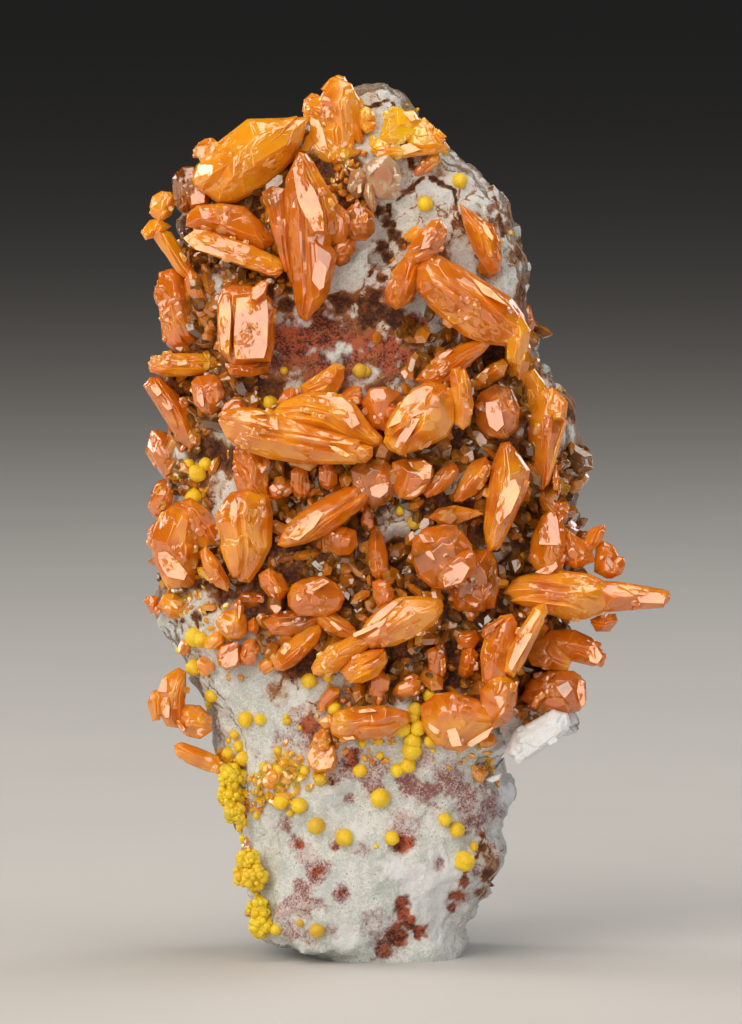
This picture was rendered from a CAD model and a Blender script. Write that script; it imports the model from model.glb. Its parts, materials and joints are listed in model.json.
# %% [markdown]
# # A wulfenite specimen
# Thick orange crystals of wulfenite, each like a bevelled lens or tablet, cover most of a tall
# slab of pale altered rock. Small crystals fill the space between the large ones, and round
# yellow balls of mimetite are scattered over the bare rock. The solid model gives the slab and
# the large clusters at their real size. This lesson gives each of them its fine shape and finish.
# Lengths are written in millimetres, and MM turns them into the metres that Blender counts in.

# %% Load the solid model
import json
import math
import random

import bmesh
import bpy
import numpy as np
from mathutils import Euler, Matrix, Vector, geometry, noise
from mathutils.bvhtree import BVHTree

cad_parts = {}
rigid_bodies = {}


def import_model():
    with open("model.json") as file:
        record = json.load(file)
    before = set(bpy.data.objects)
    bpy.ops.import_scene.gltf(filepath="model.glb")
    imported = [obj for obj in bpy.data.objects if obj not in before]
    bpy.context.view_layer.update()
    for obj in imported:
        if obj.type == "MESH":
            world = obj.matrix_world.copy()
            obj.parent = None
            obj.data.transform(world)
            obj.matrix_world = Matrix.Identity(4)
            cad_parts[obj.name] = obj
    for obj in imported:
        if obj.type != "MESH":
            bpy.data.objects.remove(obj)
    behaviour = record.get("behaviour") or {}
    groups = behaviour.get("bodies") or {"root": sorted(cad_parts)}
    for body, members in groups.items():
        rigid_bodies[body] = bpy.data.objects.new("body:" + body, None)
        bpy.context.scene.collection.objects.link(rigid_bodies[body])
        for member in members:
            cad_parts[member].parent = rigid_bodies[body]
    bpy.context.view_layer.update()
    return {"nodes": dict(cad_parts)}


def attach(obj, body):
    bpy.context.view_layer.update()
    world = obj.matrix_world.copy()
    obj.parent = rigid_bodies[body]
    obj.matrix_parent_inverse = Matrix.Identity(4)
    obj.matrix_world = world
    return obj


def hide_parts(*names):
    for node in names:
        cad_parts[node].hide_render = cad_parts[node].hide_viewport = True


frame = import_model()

MM = 0.001

# %% [markdown]
# ## Camera
# The specimen fills the picture at ten pixels to a millimetre, seen level from the front and a
# little from above. A long lens from about a metre away keeps the view flat, as in close studio
# work, so a place across and up on the specimen is nearly the same place in the picture. An
# orthographic camera would be flatter still, but the far crystals would look too large.

# %% Camera
IMAGE_HEIGHT_PX = 1024
PX_PER_MM = 10.0
VIEW_CENTRE = Vector((-2.9, -8.0, 45.4)) * MM
VIEW_ELEVATION = math.radians(4.0)
VIEW_DISTANCE = 0.95


def aim(obj, place, target):
    """Put a camera or a light in the scene, turned towards a target."""
    obj.location = place
    obj.rotation_euler = (target - place).to_track_quat("-Z", "Y").to_euler()
    bpy.context.scene.collection.objects.link(obj)


lens = bpy.data.cameras.new("studio_camera")
lens.lens = lens.sensor_width * VIEW_DISTANCE / (IMAGE_HEIGHT_PX / PX_PER_MM * MM)
camera = bpy.data.objects.new("studio_camera", lens)
back_off = Vector((0.0, -math.cos(VIEW_ELEVATION), math.sin(VIEW_ELEVATION))) * VIEW_DISTANCE
aim(camera, VIEW_CENTRE + back_off, VIEW_CENTRE)
bpy.context.scene.camera = camera
print("The lens is", round(lens.lens), "mm long")

# %% [markdown]
# ## Light
# Crystals show their faces by what they mirror. Each flat face that leans the right way shows
# one soft box as a pale patch, and the other faces stay deep orange. So there are a few soft
# boxes with dark space between them: a large one high on the left, a tall one on the right, one
# overhead, and two behind that light the edges. The room itself is a dim, even grey: a bright
# one would be simpler, but it would mirror in every face and hide the orange.

# %% Light
# Each soft box: its place in metres, its side, its power in watts and its colour.
SOFT_BOXES = {
    "key_left": ((-0.42, -0.66, 0.50), 0.84, 7.7, (1.0, 0.93, 0.81)),
    "fill_right": ((0.55, -0.62, 0.12), 0.40, 1.2, (1.0, 0.96, 0.93)),
    "overhead": ((0.10, -0.05, 0.80), 0.60, 3.4, (1.0, 0.93, 0.84)),
    "edge_right": ((0.60, 0.40, 0.36), 0.34, 1.6, (0.95, 0.96, 1.0)),
    "edge_left": ((-0.65, 0.25, 0.30), 0.34, 2.0, (1.0, 0.95, 0.9)),
}
ROOM_GREY = 0.02

for name, (place, side, power, colour) in SOFT_BOXES.items():
    panel = bpy.data.lights.new(name, "AREA")
    panel.energy = power
    panel.size = side
    panel.color = colour
    aim(bpy.data.objects.new(name, panel), Vector(place), VIEW_CENTRE)

room = bpy.data.worlds.new("studio_room")
room.use_nodes = True
room.node_tree.nodes["Background"].inputs["Color"].default_value = (ROOM_GREY,) * 3 + (1.0,)
bpy.context.scene.world = room
bpy.context.scene.view_settings.view_transform = "Standard"
print("There are", len(SOFT_BOXES), "soft boxes")

# %% [markdown]
# ## Nodes
# Every material here is built from nodes in code. Small helpers keep that readable: one adds a
# node and sets or links its inputs, and the others name the few nodes that are used all the
# time. Drawing the nodes by hand in the editor gives the same, but can't be read as a text.

# %% Helpers for nodes


def add_node(tree, kind, inputs, **options):
    """Add a node, set its options, and set or link each of its inputs."""
    made = tree.nodes.new(kind)
    for option, value in options.items():
        setattr(made, option, value)
    for key, value in inputs.items():
        if isinstance(value, bpy.types.NodeSocket):
            tree.links.new(value, made.inputs[key])
        else:
            made.inputs[key].default_value = value
    return made


def set_values(shader, values):
    """Set plain values on a shader's sockets."""
    for socket, value in values.items():
        shader.inputs[socket].default_value = value


def soft_step(tree, value, low, high, start=0.0, end=1.0):
    """A smooth rise from start to end while the value goes from low to high."""
    inputs = {"Value": value, "From Min": low, "From Max": high, "To Min": start, "To Max": end}
    return add_node(tree, "ShaderNodeMapRange", inputs, interpolation_type="SMOOTHSTEP").outputs[0]


def mixed(tree, share, first, second, blend="MIX"):
    """Two colours mixed by a share."""
    inputs = {0: share, 6: first, 7: second}
    return add_node(tree, "ShaderNodeMix", inputs, data_type="RGBA", blend_type=blend).outputs[2]


def maths(tree, operation, first, second):
    """One sum of two values."""
    return add_node(tree, "ShaderNodeMath", {0: first, 1: second}, operation=operation).outputs[0]


def weighted(tree, values, shares):
    """The sum of several values, each times its share."""
    parts = [maths(tree, "MULTIPLY", value, share) for value, share in zip(values, shares)]
    total = parts[0]
    for part in parts[1:]:
        total = maths(tree, "ADD", total, part)
    return total


def fine_noise(tree, place, per_mm, detail=4.0, roughness=0.55):
    """Noise with so many waves to a millimetre, from 0 to 1."""
    inputs = {"Vector": place, "Scale": per_mm / MM, "Detail": detail, "Roughness": roughness}
    return add_node(tree, "ShaderNodeTexNoise", inputs).outputs["Fac"]


def new_material(name):
    """An empty material with its shader, and the place on the object as a socket."""
    material = bpy.data.materials.new(name)
    material.use_nodes = True
    tree = material.node_tree
    place = add_node(tree, "ShaderNodeTexCoord", {}).outputs["Object"]
    return material, tree, tree.nodes["Principled BSDF"], place


print("The first helper is", add_node.__name__)

# %% [markdown]
# ## Floor
# A plain pale floor, wide enough to fill the picture behind the specimen. A faint mottle keeps
# it from looking like flat paint. It is a single square, because nothing on it is seen close up.

# %% Floor
FLOOR_SIDE = 30.0
FLOOR_PALE = (0.62, 0.61, 0.60, 1.0)
FLOOR_SHADE = (0.56, 0.555, 0.55, 1.0)
FLOOR_MOTTLE = 0.02
FLOOR_ROUGHNESS = 0.7


def mesh_from(bm, name):
    """A mesh made from a bmesh, which is freed."""
    mesh = bpy.data.meshes.new(name)
    bm.to_mesh(mesh)
    bm.free()
    return mesh


def add_object(name, mesh):
    """A mesh as an object in the scene."""
    obj = bpy.data.objects.new(name, mesh)
    bpy.context.scene.collection.objects.link(obj)
    return obj


material, tree, shader, place = new_material("pale_floor")
mottle = fine_noise(tree, place, FLOOR_MOTTLE)
tree.links.new(mixed(tree, mottle, FLOOR_PALE, FLOOR_SHADE), shader.inputs["Base Color"])
set_values(shader, {"Roughness": FLOOR_ROUGHNESS})

bm = bmesh.new()
bmesh.ops.create_grid(bm, x_segments=1, y_segments=1, size=FLOOR_SIDE / 2)
floor = add_object("studio_floor", mesh_from(bm, "studio_floor"))
floor.data.materials.append(material)
print("The floor is", FLOOR_SIDE, "m wide")

# %% [markdown]
# ## Tables of places
# No rule gives where each crystal and stain of a natural thing lies, so the places were measured
# on the photograph and written down. Lists of tuples would do, but plain text is shorter and
# easier to read: commas part the rows, and spaces part what is in a row.

# %% Reading tables


def rows_of(table):
    """The rows of a table written as text, its numbers as numbers and its words as words."""
    rows = [row.split() for row in table.split(",") if row.strip()]
    return [[entry if entry.isalpha() else float(entry) for entry in row] for row in rows]


def points_of(numbers):
    """Pairs of numbers as points across and up."""
    return list(zip(numbers[::2], numbers[1::2]))


def in_any(boxes, across, up):
    """True where a place is in one of the boxes."""
    return any(left < across < right and low < up < high for left, right, low, high in boxes)


def clamped(value, low, high):
    """A value kept between two others."""
    return min(max(value, low), high)


print("A table reads as", rows_of("lens 1.5 -2, tab 0 3"))

# %% [markdown]
# ## The rock's shape
# The matrix is an altered, chalky rock with a broken surface. Its front is fairly even, with
# dents and small pits, and its sides and back are coarse where it was broken off. The solid
# model has the size and the large planes. A remesh turns it into small even squares, the front
# that shows is divided once more, and each vertex then moves along its normal by layers of
# noise. Cells of Voronoi noise, each tilted its own way, give the chipped look. Sculpting by
# hand would also do, but layers of noise have names and sizes that can be changed. The foot
# stays flat, because the specimen stands on it.

# %% Even mesh for the rock
WELD = 0.000005
ROCK_SQUARE = 0.5
BARE_FACING = -0.35
# Parts that show bare: lowest and highest across, lowest and highest up.
SHOWN_BARE = rows_of("-99 99 -99 34, -13 2 56 79, -3 99 66 999")


def even_copy(source, name, square):
    """A copy of a solid with a mesh of even squares, so many millimetres wide."""
    bm = bmesh.new()
    bm.from_mesh(source.data)
    bmesh.ops.remove_doubles(bm, verts=bm.verts, dist=WELD)
    obj = add_object(name, mesh_from(bm, name))
    remesh = obj.modifiers.new("even", "REMESH")
    remesh.mode = "VOXEL"
    remesh.voxel_size = square * MM
    bpy.context.view_layer.update()
    graph = bpy.context.evaluated_depsgraph_get()
    obj.data = bpy.data.meshes.new_from_object(obj.evaluated_get(graph))
    obj.modifiers.clear()
    return obj


def divide_bare_front(bm):
    """Halve the squares where the bare rock shows from the front."""
    faced = [face for face in bm.faces if face.normal.y < BARE_FACING]
    middles = [face.calc_center_median() / MM for face in faced]
    bare = [face for face, spot in zip(faced, middles) if in_any(SHOWN_BARE, spot.x, spot.z)]
    edges = dict.fromkeys(edge for face in bare for edge in face.edges)
    bmesh.ops.subdivide_edges(bm, edges=list(edges), cuts=1, use_grid_fill=True)


rock = even_copy(frame["nodes"]["matrix"], "rock", ROCK_SQUARE)
print("The rock starts with", len(rock.data.polygons), "squares")

# %% Relief of the rock
# Without a seed, Blender draws new offsets for its vector noise each time it starts.
RELIEF_SEED = 1
noise.seed_set(RELIEF_SEED)
# Layers of bumps, then of chips: their width, height on the front, height elsewhere.
BUMP_LAYERS = [(8.0, 0.5, 1.0), (2.6, 0.28, 0.5), (0.9, 0.19, 0.22), (0.4, 0.08, 0.09)]
CHIP_LAYERS = [(3.2, 0.22, 0.95), (1.1, 0.12, 0.24)]
CHIP_WAVES = 7.3
CHIP_STEP = 0.6
PEAK_DROP = 1.1
PEAK_FROM = 70.0
PEAK_SPAN = 18.0
LEDGE_START = 9.4
LEDGE_FOOT = 18.0
LEDGE_TOP = 27.0
LEDGE_UNDERSIDE = 20.8
LEDGE_RISE = 0.42
LEDGE_RAMP = 1.5
LEDGE_LIFT = 0.9
# Dents in the front: across, up, radius, depth.
DENTS = rows_of("""
    -0.3 12 1 0.9, 4 9.9 0.6 0.5, 5.8 5.8 1 0.7, 0.3 5.2 1.1 0.5, 8.1 11.4 0.9 1, 8.4 12.6 0.8 0.8,
    -8.2 9.3 0.8 0.3, -5.7 7.4 0.7 0.3, 0.2 2.2 1.8 0.9, -1.4 75.4 1.2 1.2, -2 70.8 1.3 1.4, -1.6 73 1 0.9,
    -18.5 50.7 1.8 1, 0 41.4 2.6 2, -11 45.5 2.2 1.6, 9 69.4 1.4 1.2, 5 63.6 1.8 1, -6 55 1.8 1.2,
    2.8 26 2 1, -9.3 22.9 1.3 0.5, -19.8 33.9 0.5 0.3, 3.6 3 1.3 0.5, -13 8 1 0.4, -3 4.4 1.1 0.4
""")


def chips(spot, size):
    """Flat tilted pieces with steps between them, about -1 to 1."""
    cell = noise.voronoi(spot / size)[1][0]
    tilt = noise.noise_vector(cell * CHIP_WAVES)
    return tilt.dot(spot / size - cell) + CHIP_STEP * tilt.z


def relief(spot, front):
    """How far the rock's surface moves out at a place; front is 1 on the front and 0 behind."""
    layers = [(noise.noise(spot / layer[0]), layer) for layer in BUMP_LAYERS]
    layers += [(chips(spot, layer[0]), layer) for layer in CHIP_LAYERS]
    return sum(level * (behind + (on_front - behind) * front)
               for level, (_, on_front, behind) in layers)


def dent_depth(spot):
    """How deep the dents in the front are at a place."""
    deep = 0.0
    for across, up, radius, depth in DENTS:
        reach = math.hypot(spot.x - across, spot.z - up) / radius
        if reach < 1.0:
            deep = max(deep, depth * (1.0 - reach * reach))
    return deep


def on_ledge(spot):
    """True on the white ledge at the lower right."""
    return spot.x > LEDGE_START and LEDGE_FOOT < spot.z < LEDGE_TOP


def ledge_lift(spot):
    """How far the underside of the ledge rises towards its outer end."""
    if not on_ledge(spot):
        return 0.0
    underside = LEDGE_UNDERSIDE + LEDGE_RISE * (spot.x - LEDGE_START)
    outer = min((spot.x - LEDGE_START) / LEDGE_RAMP, 1.0)
    return max(underside - spot.z, 0.0) * outer * LEDGE_LIFT


# %% Moving the rock's surface
FRONT_FROM = 0.3
FRONT_SPAN = 0.5
FOOT_ROUNDING = 1.6
FLAT_FOOT = 0.6 * ROCK_SQUARE
ROCK_SHARP_ANGLE = math.radians(38.0)

bm = bmesh.new()
bm.from_mesh(rock.data)
bm.normal_update()
divide_bare_front(bm)
bm.normal_update()
moves = []
for vert in bm.verts:
    spot = vert.co / MM
    front = 0 if on_ledge(spot) else clamped((-vert.normal.y - FRONT_FROM) / FRONT_SPAN, 0, 1)
    grounded = clamped(spot.z / FOOT_ROUNDING, 0, 1)
    shift = vert.normal * relief(spot, front)
    shift.y += dent_depth(spot) * front
    shift.z += ledge_lift(spot)
    shift.z -= PEAK_DROP * clamped((spot.z - PEAK_FROM) / PEAK_SPAN, 0, 1)
    moves.append(shift * grounded * MM)
for vert, shift in zip(bm.verts, moves):
    vert.co += shift
    if vert.co.z < FLAT_FOOT * MM:
        vert.co.z = 0.0
bmesh.ops.recalc_face_normals(bm, faces=bm.faces)
bm.to_mesh(rock.data)
bm.free()
rock.data.shade_smooth()
rock.data.set_sharp_from_angle(angle=ROCK_SHARP_ANGLE)
print("The rock has", len(rock.data.polygons), "faces")

# %% [markdown]
# ## The rock's stains
# Iron and manganese from the same water that grew the crystals stain the rock: crimson and
# brown in the window between the crystals, pink on the lower part, and rusty lines along
# cracks. They could be painted on an image, but this rock has no flat map and needs none. Each
# stain is a table of places and sizes. The vertices hold four levels as an attribute, with
# edges broken up by noise, and the material turns the levels into colour.

# %% Stained places
# Stained places: across, up, radius, strength.
CRIMSON = rows_of("""
    -10.5 62.2 3 1, -7.5 63.6 3.2 1, -4.2 63.2 2.8 1, -8.4 60 3 0.9, -4.6 60.4 2.6 0.8, -1.6 71.6 0.8 0.8,
    -1.4 74.6 0.7 0.8, -18.5 50.7 2.4 0.9, -0.2 12.1 1 1, 0.8 12.4 0.9 0.9, 0 6.1 1 1, 0.4 5.1 0.9 1,
    1 4.1 1 1, 0 2.6 1.9 0.9, 1.8 3.1 1.3 0.9, -1.5 1.6 1.2 0.8, 6.5 8.1 0.9 1, 5.8 6.6 0.9 1,
    5.2 5.4 0.7 0.9, -8.4 9.3 0.7 0.9, -5.8 7.4 0.5 0.9, -10 12.1 0.6 0.9, -14.8 5.1 0.7 0.9, -9 24 1.4 0.9,
    -8.2 22.8 1.1 0.9, -4.8 20.9 1.1 0.9, -6.4 11.8 0.5 0.9, -2 67.4 1.4 0.9, 0.8 69.8 0.8 0.7,
    9.2 75.8 0.9 0.7, -21 34 0.5 0.5, -1.6 61.8 2.4 1, 1 61 2.2 1, 1.6 64 1.8 0.9, -12 60.4 1.8 0.8,
    -6.4 58.4 2.6 0.7, -1 59.4 2 0.8
""")
PINK = rows_of("""
    -9.4 23.4 2.4 0.9, -11.6 22.4 1.6 0.7, -5 20.6 1.8 0.9, -3 19.6 1.9 1, -2.5 18 1.4 0.9, -7 19 1.2 0.8,
    -5 16.8 0.8 0.9, 1 18 1.7 0.9, 3 17.2 1.9 1, 5 17.8 2.1 0.9, 7 16.6 2.1 1, 8.6 15.2 2 0.9,
    7 14.1 1.5 0.9, 4.6 20 2 0.6, 2.6 20.6 1.6 0.6, 0 14.6 1.5 0.8, 0.5 13.4 1.7 0.9, 0.5 12.3 1.6 1,
    -11.5 14 1.1 0.8, -10.2 12.1 1.4 0.9, -6.5 12 0.8 0.9, -4 11.6 1.1 0.6, -9.5 10.6 1.4 0.8,
    -8.4 9.4 1.7 1, -10 7.8 1.5 0.8, -5.8 7.4 1.1 1, -10 6.1 1.8 0.9, -11.6 5.1 1.5 0.9, -8.2 6.1 1 0.8,
    -11 3.6 1.5 0.7, -9 2.8 1.3 0.6, -7 3.6 1 0.6, 4 10.1 0.9 0.9, -2.5 4.6 1.6 0.5, 6 6.4 1.5 0.9,
    9.4 10.4 1.5 0.9, 7.8 9.2 1.2 0.8, -20.6 31 0.9 0.5, -5.6 66.2 2.2 0.7, -12.4 59.4 1.6 0.6,
    -1.6 2.8 2.2 0.7, -15.2 10.6 0.8 0.6, -14.6 21 0.8 0.4, -19.6 47.4 1.6 0.6
""")
WHITE = rows_of("""
    14 23 5.5 1.3, 4 9.8 2.8 0.9, 2 8.4 2.8 1, 3.2 5.4 2.2 1, -0.4 9.8 2.2 0.7, -5 13.8 2.2 0.6,
    -5.5 2.8 1.6 0.8, 4.2 2.8 1.8 0.9, 11 16.2 1.4 1.2, -9.9 63.6 1.4 1, -10.6 66 0.7 0.9, 9.8 78.6 2 0.6,
    9.6 19.8 1.6 0.8, 4.2 77.4 3 0.6, 7.4 78.4 2.4 0.6, -1 86.4 2 0.6
""")
RUST = rows_of("""
    9 8 1.3 1.2, 8 6.6 1 1, 8.3 11.4 0.6 1.3, 9.6 9.6 1.3 0.7, 8.8 10.6 1.1 0.6, 1 86 2.2 0.5,
    -3 87 1.4 0.5, 3.4 80.4 1.6 0.5, -13.6 57 2.2 0.8, -20.5 47.6 2.4 0.7, -12 27.4 1.6 0.7, -6 27 3 0.7,
    3 24 3 0.7, -11.4 66.2 1 1.3, -8.6 66.8 1.1 1.4, -5.6 66.4 1.3 1.4, -3 65.4 1.6 1.4, -0.6 64.6 1.6 1.4,
    1.2 62.8 1.4 1.3, -2.2 75.4 0.7 1.4, -1.4 74.3 0.6 1.4, -0.7 73.2 0.7 1.4, 0.2 72.3 0.5 1.3,
    -1.8 72 0.6 1.2, -1.2 70.8 0.7 1.4, -0.3 69.7 0.7 1.3, 0.6 68.6 0.6 1.3, -1.6 68.8 0.7 1.3,
    -2.4 67.4 0.9 1.3, -0.6 67.2 0.7 1.2, 0.9 66.8 0.6 1.2, 8.6 81 1.2 1, 11 78.4 1.2 1.1, 11.8 75 1.3 1.1,
    12.2 71.4 1.5 1.2, 13.2 67.6 1.7 1.2, 14.2 63.6 1.8 1.2, 15.4 59.6 1.8 1.2, 17 55.6 1.8 1.2,
    17.6 51 1.8 1.2, 8.6 79.4 0.8 1, 3.6 71.6 2 0.6, 7.4 73.4 1.8 0.6, -1.8 57.4 2 0.7, 9.4 64.6 2 0.6
""")
# Parts with a network of fine rusty veins.
VEINED = rows_of("""
    3 74 4.5 1, -1 70 3.5 1, 6 79 4 0.9, 2 80 3 0.8, -5 66 4 1, -10 58.5 4 0.8, 9 74 3 1, -20 50 3.5 1,
    -3 57 4 0.9, -9 22 3 0.6
""")
# The ground under the small crystals, coated brown.
COATED = rows_of("""
    -8 53 4.5 1, -2 53 4.5 1, 4 54 5 1, 10 56 5 1, 12 49 6 1, 6 46 6 1, -5 47 5 1, -12 44 5 1, -12 37 5 1,
    -6 38 6 1, 1 37 6 1, 8 37 6 1, 13 38 6 1, -9 31.5 4 1, -2 31 5 1, 5 30 5 1, 11 30 5 1, 10 62 4.5 1,
    4.4 60 3.5 1, 14 66 3 1, -18 40 4 1, -21 57 4 1, -18 63 4.5 1, -15 69 4 1, -19 73 5 1, -13 75 4 1,
    -13.6 52 3 0.9, -15 58.5 2.6 0.9, -9 79 4 0.9, -8 73 3 0.9, -6 80.5 2.6 1, -5 77.5 2.6 1, -4.6 75 2 1,
    -11 72 3 1, -11.4 68.6 1.8 1, 12.5 44 5 1, 0 41 2.4 1, -19.5 51.6 2.4 1, -17 50.6 1.8 1, 16.5 34 2.5 1,
    -4.6 44 2.6 1, -17.4 37.6 2.4 0.9, -9.6 49.6 2.6 1, 2 49 3 1
""")
RUST_BEHIND = rows_of("""
    -8.5 73 4 0.6, 6 47 3.6 0.6, -12 55 5 0.4, 3 66 3 0.4, -4 24 6 0.4, -2 84 3 0.4, 8 30 4 0.45
""")
# Cracks stained with rust, each as points across and up.
CRACKS = rows_of("""
    0.8 81.4 1.4 79.7 2.6 79.1 5.4 77.4 5.7 75.4 6.6 73.6, 2.6 79.1 1 77.6 -0.2 76.6,
    -1.2 76 -0.6 73.6 -1.4 71.6 -3 69.2, -12.6 65.6 -10.2 66.4 -6.6 67 -3.2 66.2 -1.4 63.6,
    -5.4 86.8 -3.4 85.6 -1.2 86.4 1.4 84.6 3.6 84, -22.4 34.1 -20.4 34.8 -18.6 35.6, -20.5 35.2 -20.2 33.3,
    8.6 79.4 9.6 76.4 10.4 73, -19 53 -20.6 51.2 -18.4 49.6 -16.8 51.4, -7.1 18.9 -6.6 18, -7.6 78 -7 76.2,
    6.6 9.2 7.8 10.6 8.4 12.6
""")
print(len(CRIMSON), "crimson places,", len(PINK), "pink ones and", len(CRACKS), "cracks")

# %% Levels of the stains
STAIN_RISE = 1.6
STAIN_RIM = 1.1
CRACK_WIDTH = 0.13
CRACK_CORE = 1.5
CRACK_SWING = 0.5
CRACK_HALO = 0.26
CRACK_HALO_WIDTH = 0.8
CRACK_HALO_CORE = 1.2


def spot_levels(places, reach_of, warp):
    """The strongest of a list of stained places at each vertex."""
    level = np.zeros(len(warp))
    for across, up, radius, strength in places:
        reach = reach_of(across, up) / radius + warp
        level = np.maximum(level, np.clip(STAIN_RISE * (STAIN_RIM - reach), 0, 1) * strength)
    return level


def crack_levels(across, up, warp):
    """Closeness to the nearest crack at each vertex, 1 on its line."""
    level = np.zeros(len(across))
    for line in map(points_of, CRACKS):
        for (ax, az), (bx, bz) in zip(line, line[1:]):
            length = math.hypot(bx - ax, bz - az)
            share = np.clip(((across - ax) * (bx - ax) + (up - az) * (bz - az)) / length**2, 0, 1)
            off = np.hypot(across - ax - share * (bx - ax), up - az - share * (bz - az))
            off = off + CRACK_SWING * warp
            level = np.maximum(level, np.clip(CRACK_CORE - off / CRACK_WIDTH, 0, 1))
            halo = np.clip(CRACK_HALO_CORE - off / CRACK_HALO_WIDTH, 0, 1)
            level = np.maximum(level, CRACK_HALO * halo)
    return level


print("A crack is", 2 * CRACK_WIDTH, "mm wide")

# %% Stains on the vertices
# Ragged edges: waves to a millimetre and share of each layer of noise.
WARP_LAYERS = [(0.45, 0.55), (1.6, 0.45)]
STAIN_BACK = 3.0
STAIN_TURN = -0.05
STAIN_TURN_SPAN = 0.3
RUST_SHARE = 0.7
VEINED_SHARE = 0.24
COATED_WARP = 0.6

spots = np.zeros(len(rock.data.vertices) * 3)
rock.data.vertices.foreach_get("co", spots)
spots = spots.reshape(-1, 3) / MM
warp = np.array([sum(noise.noise(Vector(spot) * waves) * share for waves, share in WARP_LAYERS)
                 for spot in spots])
across, up = spots[:, 0], spots[:, 2]
ways = np.array([vert.normal.y for vert in rock.data.vertices])
on_front = np.clip(STAIN_BACK - spots[:, 1], 0, 1) * np.clip((STAIN_TURN - ways) / STAIN_TURN_SPAN, 0, 1)


def reach_of(x, z):
    """How far each vertex is from a place on the front."""
    return np.hypot(across - x, up - z)


levels = [spot_levels(places, reach_of, warp) * on_front for places in (CRIMSON, PINK, WHITE)]
rust = spot_levels(RUST, reach_of, warp) * RUST_SHARE
rust += spot_levels(VEINED, reach_of, warp) * VEINED_SHARE
rust = np.maximum(rust, crack_levels(across, up, warp))
rust = np.maximum(rust, spot_levels(COATED, reach_of, warp * COATED_WARP)) * on_front
behind = np.clip(spots[:, 1] - STAIN_BACK, 0, 1)
rust = np.maximum(rust, spot_levels(RUST_BEHIND, reach_of, warp) * behind)
stain = rock.data.attributes.new("stain", "FLOAT_COLOR", "POINT")
stain.data.foreach_set("color", np.stack([*levels, rust], axis=1).astype(np.float32).ravel())
print("Vertices stained crimson and pink:", [int((level > 0.5).sum()) for level in levels[:2]])

# %% [markdown]
# ## The rock's finish
# Close up the rock is chalky and fine-grained, greenish white with grey and brown specks. The
# broken sides are greyer and browner. Grain is needed in every material of this specimen that
# is not glassy. It could be built anew in each of them, but a node group keeps them alike: it
# puts out a mottle, a speck mask and a height for the bump.

# %% Grain group
# Waves to a millimetre: broad, medium, fine.
GRAIN_WAVES = (0.28, 1.1, 4.4)
MOTTLE_SHARES = (0.3, 0.25, 0.45)
MOTTLE_EDGE = (0.43, 0.57)
SPECKS_PER_MM = 2.3
SPECK_EDGE = (0.10, 0.24)
SPECK_CHOSEN = (0.50, 0.60)
GRAIN_HEIGHTS = (0.6, 0.4)


def make_grain_group():
    """A node group with mottle, specks and fine height for stony surfaces."""
    tree = bpy.data.node_groups.new("stony_grain", "ShaderNodeTree")
    tree.interface.new_socket("Place", in_out="INPUT", socket_type="NodeSocketVector")
    tree.interface.new_socket("Specks", in_out="INPUT", socket_type="NodeSocketFloat")
    for name in ("Mottle", "Speck", "Height"):
        tree.interface.new_socket(name, in_out="OUTPUT", socket_type="NodeSocketFloat")
    ins = tree.nodes.new("NodeGroupInput")
    outs = tree.nodes.new("NodeGroupOutput")
    place = ins.outputs["Place"]
    broad = fine_noise(tree, place, GRAIN_WAVES[0], detail=3.0)
    medium = fine_noise(tree, place, GRAIN_WAVES[1], detail=5.0, roughness=0.65)
    fine = fine_noise(tree, place, GRAIN_WAVES[2], detail=3.0, roughness=0.8)
    mottle = weighted(tree, (broad, medium, fine), MOTTLE_SHARES)
    tree.links.new(soft_step(tree, mottle, *MOTTLE_EDGE), outs.inputs["Mottle"])
    inputs = {"Vector": place, "Scale": SPECKS_PER_MM / MM}
    cells = add_node(tree, "ShaderNodeTexVoronoi", inputs, feature="F1")
    dots = soft_step(tree, cells.outputs["Distance"], *SPECK_EDGE, 1.0, 0.0)
    chosen = maths(tree, "MULTIPLY", dots, soft_step(tree, medium, *SPECK_CHOSEN))
    specks = maths(tree, "MULTIPLY", chosen, ins.outputs["Specks"])
    tree.links.new(specks, outs.inputs["Speck"])
    tree.links.new(weighted(tree, (medium, fine), GRAIN_HEIGHTS), outs.inputs["Height"])
    return tree


grain_group = make_grain_group()


def add_grain(tree, place, specks):
    """Place the grain group in a material."""
    inputs = {"Place": place, "Specks": specks}
    return add_node(tree, "ShaderNodeGroup", inputs, node_tree=grain_group).outputs


def fine_bump(tree, shader, height, depth):
    """Give a shader a bump so many millimetres deep."""
    bump = add_node(tree, "ShaderNodeBump", {"Height": height, "Distance": depth * MM})
    tree.links.new(bump.outputs["Normal"], shader.inputs["Normal"])


print("The grain group has", len(grain_group.nodes), "nodes")

# %% [markdown]
# ## The rock's colour
# The colour is laid down in coats, as on the real rock: the chalky ground, the brown of broken
# sides, the grey of the back, specks, white chalk, pink, crimson, and rust last. Each coat is a
# colour with its own mottle, mixed in by a mask. One wide colour ramp would be shorter, but then
# two stains could not lie over each other. Noise breaks up the edge of each mask.

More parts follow.
